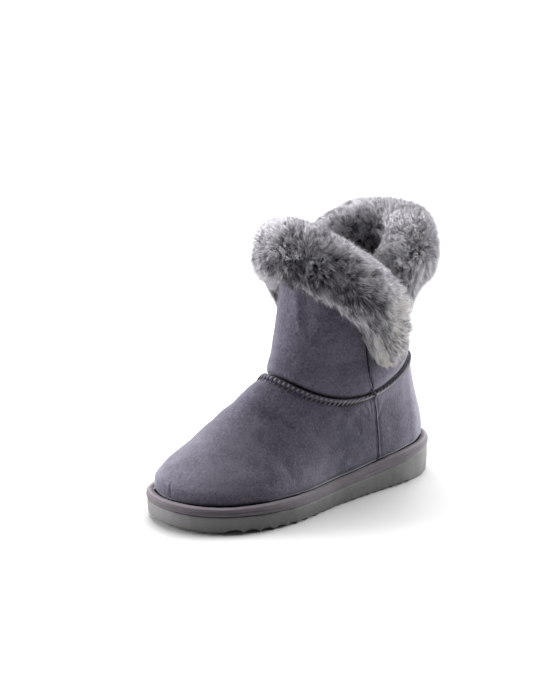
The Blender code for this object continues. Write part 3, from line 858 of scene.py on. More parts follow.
def make_upper(material):
    """The suede round the foot, with its creases and side seams: painted shade at its joints, in its creases
    and seams and over the side below the ankle, and painted highlights at the heel's edge and on the toe's
    top.
    """
    levels = np.concatenate(
        [np.linspace(0, 0.05, 9)[:-1], np.linspace(0.05, 0.95, 88)[:-1], np.linspace(0.95, 1, 12)]
    )
    u = []
    for level in np.split(levels, len(levels)):
        u.append(row_angles(lambda a: upper_surface(level, np.array([a]))[0, 0], *UPPER_COLUMNS))
    offset = seam_offsets(*UPPER_COLUMNS)
    grid = upper_surface(levels, np.array(u))
    normal = grid_normals(grid)
    top, foot = arc_from_top(grid) / MM, arc_from_foot(grid) / MM
    relief = crease_relief(grid)
    # painted shade in the bottoms of the creases
    shade = crease_bottoms(relief)
    relief += 0.30 * MM * waves(grid, 42 * MM, 3) + 0.10 * MM * waves(grid, 15 * MM, 4)
    relief += MM * hills(offset, UPPER_SEAM_RELIEF)
    relief -= MM * 0.9 * hill(top, 0, 3.0) + MM * 0.35 * hill(top, 6.4, 1.2)
    from_heel, height = heel_distance(grid), grid[:, :, 2]
    waist = hill(from_heel, 0.125, 0.060)
    toe = ramp(from_heel, *TOE_JOINT)
    relief -= MM * (1.5 - 0.8 * toe) * hill(foot, 0, 1.5)
    relief += MM * 0.7 * toe * hill(foot, 3.0, 2.2)
    # painted shade over the side below the ankle and low on the waist
    shade = shade + 0.58 * hill(from_heel, 0.110, 0.040) * hill(height, 0.058, 0.032)
    shade += 0.16 * hill(from_heel, 0.150, 0.045) * hill(height, 0.045, 0.020)
    # painted highlights at the heel's edge and on the upward faces of the toe
    shade -= 0.36 * hill(from_heel, 0.022, 0.010)
    shade -= 0.16 * hill(from_heel, 0.225, 0.038) * np.clip(normal[:, :, 2] * 1.6, 0, 1)
    # painted shade in the joint above the band, in the side seams with painted highlights on their lips, and
    # in the recess under the ankle seam
    shade += (0.9 - 0.50 * toe + 0.2 * waist) * hill(foot, 0.6, 1.5 + 2.2 * waist) + 0.28 * hill(foot, 0, 6.5)
    shade += hills(offset, UPPER_SEAM_SHADE) + 0.55 * hill(top, 5.4, 1.0) + (top < 5)
    grid = grid + normal * relief[:, :, None]
    piece = grid_object("upper_suede", grid, material)
    paint(piece, shade=np.clip(shade, -0.6, 1))
    return finish_piece(piece, "suede", "upper")


def shaft_foot(u):
    """The height at these angles where the shaft meets the ankle seam."""
    point = wall_points(u, np.full(len(u), 0.1))
    for _ in range(4):
        point = wall_points(u, seam_height(point[:, 1]))
    return point[:, 2]


def shaft_rows(u, share):
    """A row of points on the shaft, this share of the way up from its foot to the collar."""
    u = np.atleast_1d(u)
    foot = shaft_foot(u) - 0.6 * MM
    return wall_points(u, foot + (collar_height(u) - foot) * share)


def under_cuffs(points):
    """How near each point is to the line where the hanging pile rests against the shaft, from 0 to 1: where
    the painted shadow under it falls.
    """
    share = np.linspace(0, 1, 240)
    nearest = np.full(points.shape[:-1], np.inf)
    for side in (1, -1):
        for table, first, last in ((CUFF_FRONT, 0.40, 1.0), (CUFF_BACK, 0.0, 0.36)):
            here = share[(share >= first) & (share <= last)]
            hem = smooth(table, 2, here) - 6.0
            if side < 0 and table is CUFF_FRONT:
                hem -= smooth(INNER_HEM, 1, here)
            for place in wall_points(side * here * np.pi, hem * MM):
                nearest = np.minimum(nearest, ((points - place) ** 2).sum(-1))
    return np.exp(-nearest / (6 * MM) ** 2)


def make_shaft(material):
    """The suede round the ankle, drawn in at its foot and turned over the collar."""
    shares = np.concatenate([np.linspace(0, 0.08, 14)[:-1], np.linspace(0.08, 1, 76)])
    rows = [row_angles(lambda a: shaft_rows(a, share)[0], *SHAFT_COLUMNS) for share in shares]
    grid = np.array([shaft_rows(u, share) for u, share in zip(rows, shares)])
    offset = seam_offsets(*SHAFT_COLUMNS)
    up = arc_from_foot(grid) / MM
    normal = grid_normals(grid)
    relief = crease_relief(grid)
    # painted shade in the bottoms of the creases
    shade = crease_bottoms(relief)
    relief += 0.35 * MM * waves(grid, 45 * MM, 7) + 0.08 * MM * waves(grid, 16 * MM, 8)
    rear = ramp(heel_distance(grid), 0.105, 0.075)
    relief += MM * (0.9 * hill(up, 9, 5.5) - (2.0 - 1.2 * rear) * hill(up, 0, 3.0))
    relief += MM * hills(offset, SHAFT_SEAM_RELIEF)
    # painted shade in the side seam's groove with a painted highlight on its lip, a painted shadow under the
    # hanging pile, and painted shade at the foot under the ankle seam
    shade = shade + hills(offset, SHAFT_SEAM_SHADE) + 0.10 * under_cuffs(grid)
    shade += (1.2 - 0.3 * rear) * hill(up, 0.4, 2.0 - 0.5 * rear)
    grid = grid + normal * relief[:, :, None]
    rim = wall_points(rows[-1], collar_height(rows[-1]), np.full(len(rows[-1]), -SHAFT_WALL))
    grid = np.concatenate([grid, rim[None]])
    shade = np.concatenate([np.clip(shade, -0.6, 1), np.zeros((1, shade.shape[1]))])
    piece = grid_object("shaft_suede", grid, material)
    paint(piece, shade=shade)
    return finish_piece(piece, "suede", "shaft")


def make_lining(material):
    """The fleece inside the shaft and the upper, down to the insole."""
    u = angles(LINING_COLUMNS)
    lower = upper_surface(np.linspace(0.0, 1.0, 48), u)
    normal = grid_normals(lower)
    lower = lower - UPPER_WALL * normal
    foot = lower[-1, :, 2]
    share = np.linspace(0, 1, 30)[1:, None]
    height = foot + (collar_height(u) - foot) * share
    shaft = wall_points(np.broadcast_to(u, height.shape), height, np.full(height.shape, -SHAFT_WALL))
    grid = np.concatenate([lower, shaft])
    relief = 0.5 * MM * waves(grid, 7 * MM, 11, 40) + 0.3 * MM * waves(grid, 3.5 * MM, 12, 40)
    grid = grid - grid_normals(grid) * (0.2 * MM + relief)[:, :, None]
    return finish_piece(grid_object("fleece_lining", grid, material, flip=True), "fleece", "upper", "shaft")


# ---------------------------------------------------------------- seams and stitches
def below_top(u, distances):
    """The upper's points and normals at these distances down from its top edge, at each angle."""
    grid = upper_surface(np.linspace(0.80, 1.0, 60), u)
    normal = grid_normals(grid)
    top = arc_from_top(grid)
    found = np.empty((2, len(distances), len(u), 3))
    for c in range(len(u)):
        for k in range(3):
            for kind, field in enumerate((grid, normal)):
                found[kind, :, c, k] = np.interp(distances, top[::-1, c], field[::-1, c, k])
    return found


def padding(down, phase):
    """1 midway between two of the ankle seam's stitches, 0 under each."""
    return np.abs(np.sin(np.pi * (phase + SLANT * down / STITCH_PITCH)))


def ridge_height(down, phase):
    """The ankle seam's height: padded between its stitches and pulled in under each."""
    height = np.interp(down, [row[0] * MM for row in RIDGE], [row[1] * MM for row in RIDGE])
    return np.where(height > 0, height * (0.25 + 0.75 * padding(down, phase) ** 0.7), height)


def make_ankle_seam(suede, thread):
    """The rolled seam round the ankle, and its stitches."""
    u = angles(ANKLE_SEAM_COLUMNS)
    down = np.array([0.0, 1.0, 1.15, 1.35, 1.7, 2.2, 2.8, 3.4, 4.0, 4.6, 5.1, 5.5, 5.9]) * MM
    place, normal = below_top(u, down)
    down = down[:, None]
    at, whole = girth(place[0])
    count = round(whole / STITCH_PITCH)
    phase = at / whole * count
    height = ridge_height(down, phase)
    height *= np.where(height > 0, 1 - 0.28 * ramp(along_of(u), 0.875, 1), 1)
    height += 0.07 * MM * waves(place, 5 * MM, 13)
    grid = place + normal * height[:, :, None]
    piece = grid_object("ankle_seam", grid, suede)
    pad = padding(down, phase)
    far = down / MM
    # painted shade in the recess under the shaft, along the lower edge, in the pinches between stitches and
    # more towards the heel; painted highlights on the padded bumps
    shade = 1 - ramp(far, 1.2, 2.2) + 0.8 * hill(far, 5.9, 0.7)
    shade = np.maximum(shade, 0.95 * (1 - pad) ** 0.7) - 0.75 * pad**2 * hill(far, 3.3, 1.3)
    shade += 0.7 * ramp(heel_distance(grid), 0.120, 0.090)
    paint(piece, shade=np.clip(shade, -0.7, 0.96))
    finish_piece(piece, "suede", "upper")

    reach = np.array([0.6, 1.2, 1.8, 2.8, 3.8, 5.0, 6.6, 8.8]) * MM
    place, normal = below_top(u, reach)
    turns = np.arange(1, count)[:, None] - SLANT * reach / STITCH_PITCH
    column = np.interp(turns, phase, np.arange(ANKLE_SEAM_COLUMNS))
    row = np.broadcast_to(np.arange(len(reach), dtype=float), column.shape)
    at, way = (read_grid(field, row, column) for field in (place, normal))
    rise = ridge_height(reach, -SLANT * reach / STITCH_PITCH)
    rise = np.maximum(rise, 0) + THREAD * np.array([-0.5, 0.5, 0.7, 0.8, 0.8, 0.9, 1.0, -0.6])
    paths = at + way * rise[:, None]
    from_heel = heel_distance(paths[:, :1])
    radii = THREAD * np.array([1, 1, 1, 1, 1, 1, 0.9, 0.6]) * (1 + 0.35 * ramp(from_heel, 0.120, 0.080))
    vertices, quads = tubes(paths, radii, way, THREAD_SIDES)
    piece = build_object("ankle_stitches", vertices, quads, material=thread)
    # paler towards the end of each stitch, and much more so towards the heel
    wear = np.array([0, 0.1, 0.4, 0.7, 0.9, 1.0, 1.0, 0.8]) * (0.08 + 0.92 * ramp(from_heel, 0.150, 0.100))
    paint(piece, wear=np.repeat(wear.ravel(), THREAD_SIDES))
    return finish_piece(piece, "suede", "upper")


def seam_place(side, height, from_heel):
    """A point of the side seam, given in millimetres, and the way out from it."""
    u = np.array([side * np.arccos(1 - 2 * ramp(from_heel, *ANKLE_ENDS))])
    if height * MM > shaft_foot(u)[0]:
        here, further = wall_points(np.repeat(u, 2), np.full(2, height * MM), np.array([0, MM]))
        return here, unit(further - here)
    levels = np.linspace(0.4, 1, 60)
    share = ramp(from_heel, smooth(UPPER, 1, levels), smooth(UPPER, 2, levels))
    rows = upper_surface(levels, side * np.arccos(1 - 2 * share)[:, None])[:, 0]
    return rows[np.argmin(np.abs(rows[:, 2] - height * MM))], unit(np.array([side, 0, 0.12]))


def make_seam_folds(material):
    """Where each side seam crosses the ankle seam, its allowance folds over in a short thick strip."""
    height = np.linspace(107, 76, FOLD_POINTS)
    share = np.linspace(0, 1, FOLD_POINTS)
    paths, ways = [], []
    for side in (1, -1):
        places = [seam_place(side, *place) for place in zip(height, smooth(SIDE_SEAM, 1, height))]
        path, way = (np.array(column) for column in zip(*places))
        for _ in range(4):
            path[1:-1] = (path[:-2] + path[1:-1] + path[2:]) / 3
        ankle = shaft_foot(np.array([side * 1.45]))[0] / MM
        crossing = np.interp(ankle, height[::-1], share[::-1]) + 0.08
        path += way * MM * (0.15 + 1.75 * hill(share, crossing, 0.13))[:, None]
        path[:, 1] += 0.9 * MM * np.sin(np.pi * share) * hill(share, crossing - 0.1, 0.25)
        paths.append(path)
        ways.append(way)
    paths = np.array(paths)
    radii = MM * (0.40 + 0.90 * np.sin(np.pi * share) ** 0.7) * (1 + 0.10 * waves(paths, 4 * MM, 23))
    vertices, quads = tubes(paths, radii, np.array(ways), FOLD_SIDES, 0.62)
    piece = build_object("seam_folds", vertices, quads, material=material)
    # painted shade along the strip's middle and a thin painted highlight along its edges
    across = 0.85 - 1.25 * np.abs(np.cos(angles(FOLD_SIDES))) ** 5
    paint(piece, shade=np.tile(across, 2 * FOLD_POINTS))
    return finish_piece(piece, "suede", "upper", "shaft")


# ---------------------------------------------------------------- sole
def scallop_rise(from_heel):
    """How far the outsole's lower edge is cut up at each distance from the heel, and that as a share."""
    first, last = LUGS[0][0], LUGS[-1][0]
    number = np.linspace(first, last, 400)
    place = smooth(LUGS, 1, number) * MM
    pitch = np.diff(place) / np.diff(number)
    at = np.interp(from_heel, place, number)
    at += np.minimum(from_heel - place[0], 0) / pitch[0] + np.maximum(from_heel - place[-1], 0) / pitch[-1]
    phase = (at + 0.5) % 1
    arch = np.clip(1 - ((phase - 0.5) / 0.44) ** 2, 0, 1) ** 0.55
    arch = np.where((at > first - 0.5) & (at < last + 0.5), arch, 0)
    return arch * smooth(LUGS, 2, at) * MM, arch


def inset_loop(plan, out, inset, height):
    """A loop of points round the sole, this far in from its outline."""
    place = plan - np.reshape(inset, (-1, 1)) * out
    return np.stack([place[:, 0], y_of(place[:, 1]), height], 1)


def make_outsole(material):
    """The foam sole, with scallops cut into its lower edge and a slightly swollen side."""
    plan, out = sole_plan(angles(OUTSOLE_COLUMNS))
    from_heel = plan[:, 1]
    cut, arch = scallop_rise(from_heel)
    edge = 2.2 * MM - 1.0 * MM * arch
    top = tread_top(from_heel) - spring(from_heel) - 0.3 * MM
    rows = [(LUG_REACH * inward, rise * cut) for inward, rise in ((1, 0), (0.72, 0.30), (0.45, 0.66))]
    for turn in np.linspace(0, np.pi / 2, 7):
        rows.append((edge * (1 - np.sin(turn)) + 0.2 * MM, cut + edge * (1 - np.cos(turn))))
    for share in (0.1, 0.2, 0.3, 0.42, 0.54, 0.66, 0.78, 0.86, 0.91, 0.95, 0.98, 1.0):
        belly = 0.35 * MM * np.sin(np.pi * share) - 0.9 * MM * hill(share, 1, 0.06)
        rows.append((0.2 * MM - belly - 0.2 * MM * share, cut + edge + (top - cut - edge) * share))
    grid = np.array([inset_loop(plan, out, *row) for row in rows])
    grid[:, :, 2] += spring(heel_distance(grid))
    uneven = 0.10 * MM * waves(grid, 22 * MM, 31) + 0.05 * MM * waves(grid, 6 * MM, 32)
    uneven[:2] = 0
    grid = grid + grid_normals(grid) * uneven[:, :, None]
    grid[:, :, 2] = np.maximum(grid[:, :, 2], 0.0)
    piece = grid_object("outsole_foam", grid, material, caps=True)
    # painted shade on the underside and scalloped edge, in the groove under the band and over the waist
    dark = np.zeros(grid.shape[:2])
    dark[:4] = 0.8
    dark[-4:] = [[0.1], [0.4], [0.8], [0.95]]
    dark[-4:] *= 1 - 0.5 * hill(from_heel, 0.205, 0.030)
    dark += 0.38 * hill(from_heel, 0.130, 0.055)
    paint(piece, shade=np.clip(dark, 0, 0.95))
    return finish_piece(piece, "outsole", "outsole")


def make_band(material):
    """The wrapped midsole band, with a few lengthwise wrinkles and a soft lip against the upper."""
    plan, out = sole_plan(angles(BAND_COLUMNS))
    steps = np.linspace(0, 1, 34)
    heights, insets = catmull(BAND_PROFILE, steps)
    up = steps[:, None]
    from_heel = plan[:, 1]
    base = tread_top(from_heel)
    tall = midsole_top(from_heel) - base
    rows = zip(insets * MM, heights)
    grid = np.array([inset_loop(plan, out, inset, base + tall * height) for inset, height in rows])
    wander = 0.03 * waves(grid[:1], 30 * MM, 43)
    folds = np.zeros(grid.shape[:2])
    for line, depth in ((0.12, 0.30), (0.24, 0.42), (0.38, 0.34), (0.53, 0.22)):
        strength = np.clip(0.75 + 0.5 * waves(grid[:1], 38 * MM, int(line * 100)), 0, 1.2)
        folds += depth * strength * hill(up, line + wander, 0.022)
    relief = 0.05 * MM * waves(grid, 9 * MM, 42) - MM * folds
    relief *= ramp(up, 0, 1 / 6)
    grid = grid + grid_normals(grid) * relief[:, :, None]
    piece = grid_object("midsole_band", grid, material)
    # painted shade in the wrinkles, at the foot, in the joint under the upper and over the waist; painted
    # highlights below the lip and at the heel
    shade = folds * 1.3 + 0.5 * hill(up, 0, 0.06) - 0.30 * hill(up, 0.72, 0.09)
    lip = 1.1 - 0.5 * ramp(from_heel, *TOE_JOINT) - 0.4 * ramp(from_heel, 0.06, 0.02)
    shade += lip * ramp(up, 0.82, 1.02)
    shade += 0.30 * hill(from_heel, 0.130, 0.055) - 0.16 * hill(from_heel, 0, 0.035)
    paint(piece, shade=np.clip(shade, -0.5, 0.95))
    return finish_piece(piece, "midsole_wrap", "midsole")


def make_insole(material):
    """The fleece-covered insole, cushioned and a little higher at its edge."""
    u = angles(INSOLE_COLUMNS)
    foot = upper_surface(np.array([0.0, 0.02]), u)
    foot = foot[0] - UPPER_WALL * grid_normals(foot)[0] * [1, 1, 0]
    middle = np.stack([BALL_WIDTH * smooth(OUTLINE, 1, along_of(u)), foot[:, 1], foot[:, 2]], 1)
    loops = [foot + [0, 0, 0.3 * MM]]
    for share in (0.0, 0.03, 0.08, 0.16, 0.28, 0.42, 0.56, 0.70, 0.84, 0.96):
        swell = INSOLE_THICKNESS * (0.92 - 0.22 * np.sin(np.pi * min(share * 1.2, 1)))
        loops.append(foot * (1 - share) + middle * share + [0, 0, swell])
    grid = np.array(loops)
    grid[1:, :, 2] += 0.35 * MM * waves(grid[1:], 6 * MM, 51, 40)
    piece = grid_object("insole_fleece", grid, material, caps=True)
    drop_empty_faces(piece)
    finish_piece(piece, "fleece", "insole")
    return piece


# ---------------------------------------------------------------- fur
def section_profile(crest, hem, inner_hem, outside, inside):
    """A cuff's section as (offset from the wall, height): up the outside, over the crest, down the inside."""
    near, far = 0.7 * MM, -SHAFT_WALL - 0.7 * MM
    tall, deep = crest - hem, crest - inner_hem
    return (
        (near, hem + 0.05 * tall),
        (0.30 * outside, hem),
        (0.70 * outside, hem + 0.045 * tall),
        (0.94 * outside, hem + 0.18 * tall),
        (outside, hem + 0.40 * tall),
        (0.95 * outside, hem + 0.63 * tall),
        (0.76 * outside, hem + 0.84 * tall),
        (0.42 * outside, crest - 0.04 * tall),
        (-SHAFT_WALL / 2, crest),
        (far - 0.40 * inside, crest - 0.05 * deep),
        (far - 0.80 * inside, crest - 0.20 * deep),
        (far - inside, crest - 0.44 * deep),
        (far - 0.90 * inside, inner_hem + 0.30 * deep),
        (far - 0.55 * inside, inner_hem + 0.07 * deep),
        (far - 0.20 * inside, inner_hem),
        (far, inner_hem + 0.04 * deep),
    )


def cuff_surface(table, shrink=0.0):
    """A cuff's surface as a grid of points, a row for each section from its outer end to its inner end.

    With shrink it is the smaller form inside, that far in, on which the fur stands."""
    forward = table is CUFF_FRONT
    toward = 1 if forward else -1
    shrink_inside = 0.8 * shrink
    tip = table[0 if forward else -1][0] + toward * shrink_inside / SHARE_LENGTH
    start = tip + toward * CUFF_ROUNDING
    run = np.linspace(0, 1, FUR_STATIONS // 2)
    turn = ramp(run, 0, CLOSING) * np.pi / 2
    final = 1.0 if forward else 0.0
    share = tip + (start - tip) * (1 - np.cos(turn)) + (final - start) * ramp(run, CLOSING, 1)
    squeeze = np.sin(turn) ** 0.75
    share, squeeze = (np.concatenate([half, half[-2::-1]]) for half in (share, squeeze))
    on_inner_side = np.arange(len(share)) >= len(run)
    u = np.where(on_inner_side, -share, share) * np.pi
    crest, hem, inner_hem, outside, inside = (smooth(table, column, share) * MM for column in range(1, 6))
    if forward:
        hem -= on_inner_side * smooth(INNER_HEM, 1, share) * MM
    else:
        crest += on_inner_side * smooth(INNER_CREST, 1, share) * MM
    rim = collar_height(u) + 1.4 * MM
    crest = np.maximum(crest - shrink, rim + 2 * MM)
    hem = np.minimum(hem + shrink, rim - 2 * MM)
    inner_hem = np.minimum(inner_hem + shrink_inside, rim - 2 * MM)
    heights = (rim + (value - rim) * squeeze for value in (crest, hem, inner_hem))
    outside = np.maximum(outside - shrink, 3 * MM) * squeeze
    inside = np.maximum(inside - shrink_inside, 3 * MM) * squeeze
    rows = []
    for place, *sizes in zip(u, *heights, outside, inside):
        offset, height = catmull(section_profile(*sizes), np.linspace(0, 1, FUR_ACROSS))
        rows.append(wall_points(np.full(FUR_ACROSS, place), height, offset))
    return np.array(rows)


def catmull(rows, at):
    """Each column of evenly spaced rows, read along a smooth curve from their first (0) to their last (1)."""
    y = np.array(rows, float)
    padded = np.concatenate([[2 * y[0] - y[1]], y, [2 * y[-1] - y[-2]]])
    place = np.clip(at, 0, 1) * (len(y) - 1)
    k = np.minimum(place.astype(int), len(y) - 2)
    t = (place - k)[:, None]
    a, b, c, d = (padded[k + j] for j in range(4))
    curve = 0.5 * (2 * b + (c - a) * t + (2 * a - 5 * b + 4 * c - d) * t**2 + (3 * b - a - 3 * c + d) * t**3)
    return curve.T


def read_grid(grid, row, column):
    """Points between those of a grid."""
    row = np.clip(row, 0, grid.shape[0] - 1.001)
    column = np.clip(column, 0, grid.shape[1] - 1.001)
    r, c = row.astype(int), column.astype(int)
    a, b = (row - r)[..., None], (column - c)[..., None]
    near = grid[r, c] * (1 - a) + grid[r + 1, c] * a
    far = grid[r, c + 1] * (1 - a) + grid[r + 1, c + 1] * a
    return near * (1 - b) + far * b


def cell_areas(grid):
    a = grid[1:, :-1] - grid[:-1, :-1]
    b = grid[:-1, 1:] - grid[:-1, :-1]
    return np.linalg.norm(np.cross(a, b), axis=2)


def scatter(grid, count, rng):
    """Places on a grid, as fractional rows and columns, spread evenly over its area."""
    area = cell_areas(grid)
    chance = np.cumsum(area.ravel())
    cell = np.searchsorted(chance, rng.uniform(0, chance[-1], count))
    row, column = np.divmod(np.minimum(cell, area.size - 1), area.shape[1])
    return row + rng.uniform(0, 1, count), column + rng.uniform(0, 1, count)


FUR_ACROSS = 64
FUR_STATIONS = 280
FUR_MESHES = 2  # for each cuff
FRONT_STRANDS = 190000
BACK_STRANDS = 118000
STRAND_WIDTH = 0.36 * MM
STRAYS = 0.13  # share of the strands that are longer and finer
PILE = 11 * MM  # from the backing to the tips
TUFTS = (
    # area (square mm), lean (mm), spread of tone, how much they gather the pile in the body and at the hem,
    # and their share in how far the pile hangs there
    (3.6, 1.0, 0.07, 1.0, 0.6, 0.2),
    (16.0, 1.3, 0.08, 0.0, 1.0, 0.6),
    (40.0, 1.9, 0.08, 0.0, 0.0, 0.2),
)
FRONT_FUR = (
    # share round the section from the outer hem, tone (painted light: paler on the crest, darker over the
    # belt), how dark the painted shade in the gaps is, how far the tufts gather, and how far the tips are
    # combed on round the section (mm): they part over the dark belt
    (0.00, 0.76, 0.33, 0.90, -1.0),
    (0.05, 0.79, 0.40, 0.90, -2.4),
    (0.12, 0.68, 0.45, 0.80, -2.8),
    (0.18, 0.36, 0.54, 0.70, -2.0),
    (0.23, 0.24, 0.56, 0.65, -0.2),
    (0.29, 0.50, 0.50, 0.65, 2.2),
    (0.36, 0.62, 0.36, 0.55, 2.4),
    (0.44, 0.58, 0.10, 0.20, 1.2),
    (0.53, 0.54, 0.01, 0.00, 0.0),
    (0.66, 0.62, 0.16, 0.40, -1.4),
    (0.85, 0.48, 0.24, 0.50, -1.6),
    (1.00, 0.35, 0.15, 0.50, 0.0),
)
BACK_FUR = (
    (0.00, 0.60, 0.20, 0.60, -1.0),
    (0.12, 0.82, 0.22, 0.50, -2.0),
    (0.22, 0.78, 0.30, 0.50, -1.2),
    (0.30, 0.66, 0.34, 0.50, 0.6),
    (0.38, 0.70, 0.26, 0.45, 1.6),
    (0.45, 0.66, 0.10, 0.25, 1.0),
    (0.54, 0.62, 0.02, 0.05, 0.0),
    (0.64, 0.66, 0.18, 0.40, -1.6),
    (0.75, 0.70, 0.34, 0.60, -2.4),
    (0.86, 0.56, 0.38, 0.65, -2.4),
    (1.00, 0.22, 0.20, 0.60, -1.0),
)


FUR_LIGHT_PATCHES = {
    # for each cuff, patches of painted light and shade: tone added, its middle and width along the cuff (-1
    # to 1) and round the section (0 to 1)
    "front": ((-1.0, 0.48, 0.06, 0.12, 0.09), (-0.13, -0.80, 0.26, 0.50, 0.15)),
    "back": (
        (0.42, -0.55, 0.30, 0.40, 0.18),
        (0.18, -0.85, 0.12, 0.58, 0.07),
        (-0.08, 0.10, 0.30, 0.50, 0.10),
    ),
}


def sorted_into_tufts(skin, places, area, rng):
    """Tuft centres over a surface, as fractional rows and columns, and which tuft each place belongs to."""
    count = int(cell_areas(skin).sum() / MM**2 / area)
    row, column = scatter(skin, count, rng)
    tree = kdtree.KDTree(count)
    for k, place in enumerate(read_grid(skin, row, column)):
        tree.insert(place, k)
    tree.balance()
    return row, column, np.array([tree.find(place)[1] for place in places])


def pile_pattern(forward, at, section, inner, seed, rng):
    """Each strand's tone, with the painted light and shade that it carries, and its gaps, gathering, combing
    and length, from where it is.

    section runs round the cuff from the outer hem (0), and inner along it from its outer end (-1)."""
    wander = section + 0.018 * waves(at, 26 * MM, seed)
    tone, gaps, gathered, comb = (smooth(FRONT_FUR if forward else BACK_FUR, k, wander) for k in (1, 2, 3, 4))
    length = 1.16 + (0.20 if forward else 0.27) * hill(section, 0.27, 0.13)
    length -= (0.03 if forward else 0.13) * hill(section, 0.53, 0.09)
    length -= gaps * rng.uniform(0, 0.35, len(at))
    # patches of painted light and shade
    for more, *where in FUR_LIGHT_PATCHES["front" if forward else "back"]:
        tone += more * hill(inner, *where[:2]) * hill(section, *where[2:])
    if forward:
        # painted highlight on the front's rounded bulge, with lighter painted shade in its gaps
        round_front = ramp(inner, -0.05, 0.11) * ramp(inner, 0.62, 0.47)
        tone += 0.24 * round_front
        gaps *= 1 - 0.45 * round_front
        length *= 1 + 0.20 * ramp(np.abs(inner), 0.80, 0.92)
    else:
        # painted light on part of the back cuff's inner side, and lighter painted shade in the gaps on its
        # outer side
        tone += 0.10 * ramp(inner, 0.35, 0.55) * ramp(section, 0.25, 0.35)
        gaps *= 1 - 0.45 * hill(inner, -0.48, 0.26)
    return tone, gaps, gathered, comb * MM, length


def grow_fur(name, table, strands, seed, material, node):
    """Strands from the backing out to the cuff's own surface, gathered in tufts that lean their own way."""
    rng = np.random.default_rng(seed)
    forward = table is CUFF_FRONT
    skin = cuff_surface(table)
    core = cuff_surface(table, PILE)
    normal = unit(np.cross(np.gradient(skin, axis=0), np.gradient(skin, axis=1)))
    normal *= np.sign(((skin - core) * normal).sum())
    row_step, column_step = (np.linalg.norm(np.diff(skin, axis=k), axis=2).mean() for k in (0, 1))
    row, column = scatter(skin, strands, rng)
    at = read_grid(skin, row, column)
    section = column / FUR_ACROSS
    inner = row / (FUR_STATIONS - 1) * 2 - 1
    tone, gaps, gathered, comb, length = pile_pattern(forward, at, section, inner, seed, rng)

    # where the tips go: each size of tuft leans, gathers and shades its strands
    tip_row = row + rng.normal(0, 0.7 * MM, strands) / row_step
    tip_column = column + (comb + rng.normal(0, 0.7 * MM, strands)) / column_step
    hanging = np.zeros(strands)
    curl = rng.normal(0, 0.6 * MM, (strands, 3))
    loose = 0.45 + 1.5 * gaps
    low = ramp(section, 0.22, 0) ** 0.6
    for area, lean, spread, body, hem, hang in TUFTS:
        tuft_row, tuft_column, mine = sorted_into_tufts(skin, at, area, rng)
        count = len(tuft_row)
        off_row, off_column = tuft_row[mine] - row, tuft_column[mine] - column
        tip_row += (rng.normal(0, lean * MM, count) / row_step)[mine] * loose
        tip_column += (rng.normal(0, lean * MM, count) / column_step)[mine] * loose
        tone += rng.normal(0, spread, count)[mine] * loose
        length *= 1 - gaps * rng.uniform(0, 0.40, count)[mine]
        curl += rng.normal(0, 0.7 * MM, (count, 3))[mine] * loose[:, None]
        hanging += rng.uniform(0, 1, count)[mine] * hang
        gather = gathered * (body + (hem - body) * low) * rng.uniform(0.7, 1.1, strands)
        tip_row += off_row * gather
        tip_column += off_column * gather
        away = np.hypot(off_row * row_step, off_column * column_step)
        edge = np.clip(away / np.sqrt(area / 3.5) / MM, 0, 1.2)
        # painted light and shade: tufts paler in the middle, darker at their edges where the gaps are
        tone += gather * gaps * (0.55 - 1.1 * edge**1.5)
        length *= 1 - 0.25 * gather * gaps * edge
    stray = rng.uniform(0, 1, strands) < STRAYS
    length = np.where(stray, length * rng.uniform(1.03, 1.26, strands), length)
    root = read_grid(core, row, column)
    tip = root + (read_grid(skin, tip_row, tip_column) - root) * length[:, None]
    front = np.abs(inner)
    drop = np.clip(21 - 19 * front, 5, 15) + 3 * ramp(front, 0.80, 0.92) if forward else 4.0
    tip[:, 2] -= low * (0.25 + 0.75 * hanging) * drop * MM

    # each strand's outline, shading normal and tone
    out = unit(read_grid(normal, row, column))
    middle = root * 0.42 + tip * 0.58 + out * rng.uniform(0.4, 1.8, strands)[:, None] * MM + curl
    tangent = unit(tip - root)
    wide = unit(np.cross(tangent, out + rng.normal(0, 0.35, (strands, 3))))
    half = wide * STRAND_WIDTH / 2 * np.where(stray, 0.5, rng.uniform(0.65, 1.15, strands))[:, None]
    points = np.stack([root, middle - half, middle + half, tip], 1)
    soft = unit(out + np.cross(wide, tangent) * (0.15 + 0.8 * gaps)[:, None])
    tone = np.clip(tone + rng.normal(0, 1, strands) * (0.03 + 0.26 * gaps + 0.30 * gaps**3), 0.0, 0.85)
    if forward:
        pale = ramp(inner, -0.70, -0.85) * ramp(section, 0.42, 0.32)
        tone = np.clip(tone + pale * rng.uniform(0.10, 0.60, strands), 0, 1)
    for k in range(FUR_MESHES):
        part = slice(k * strands // FUR_MESHES, (k + 1) * strands // FUR_MESHES)
        piece = strand_object(f"{name}_{k + 1}", points[part], soft[part], tone[part], material)
        finish_piece(piece, "fur", node)
    base = grid_object(name.replace("fur", "fur_base"), core[::2, ::2], fur_base_material(), closed=False)
    drop_empty_faces(base)
    finish_piece(base, "fur", node)


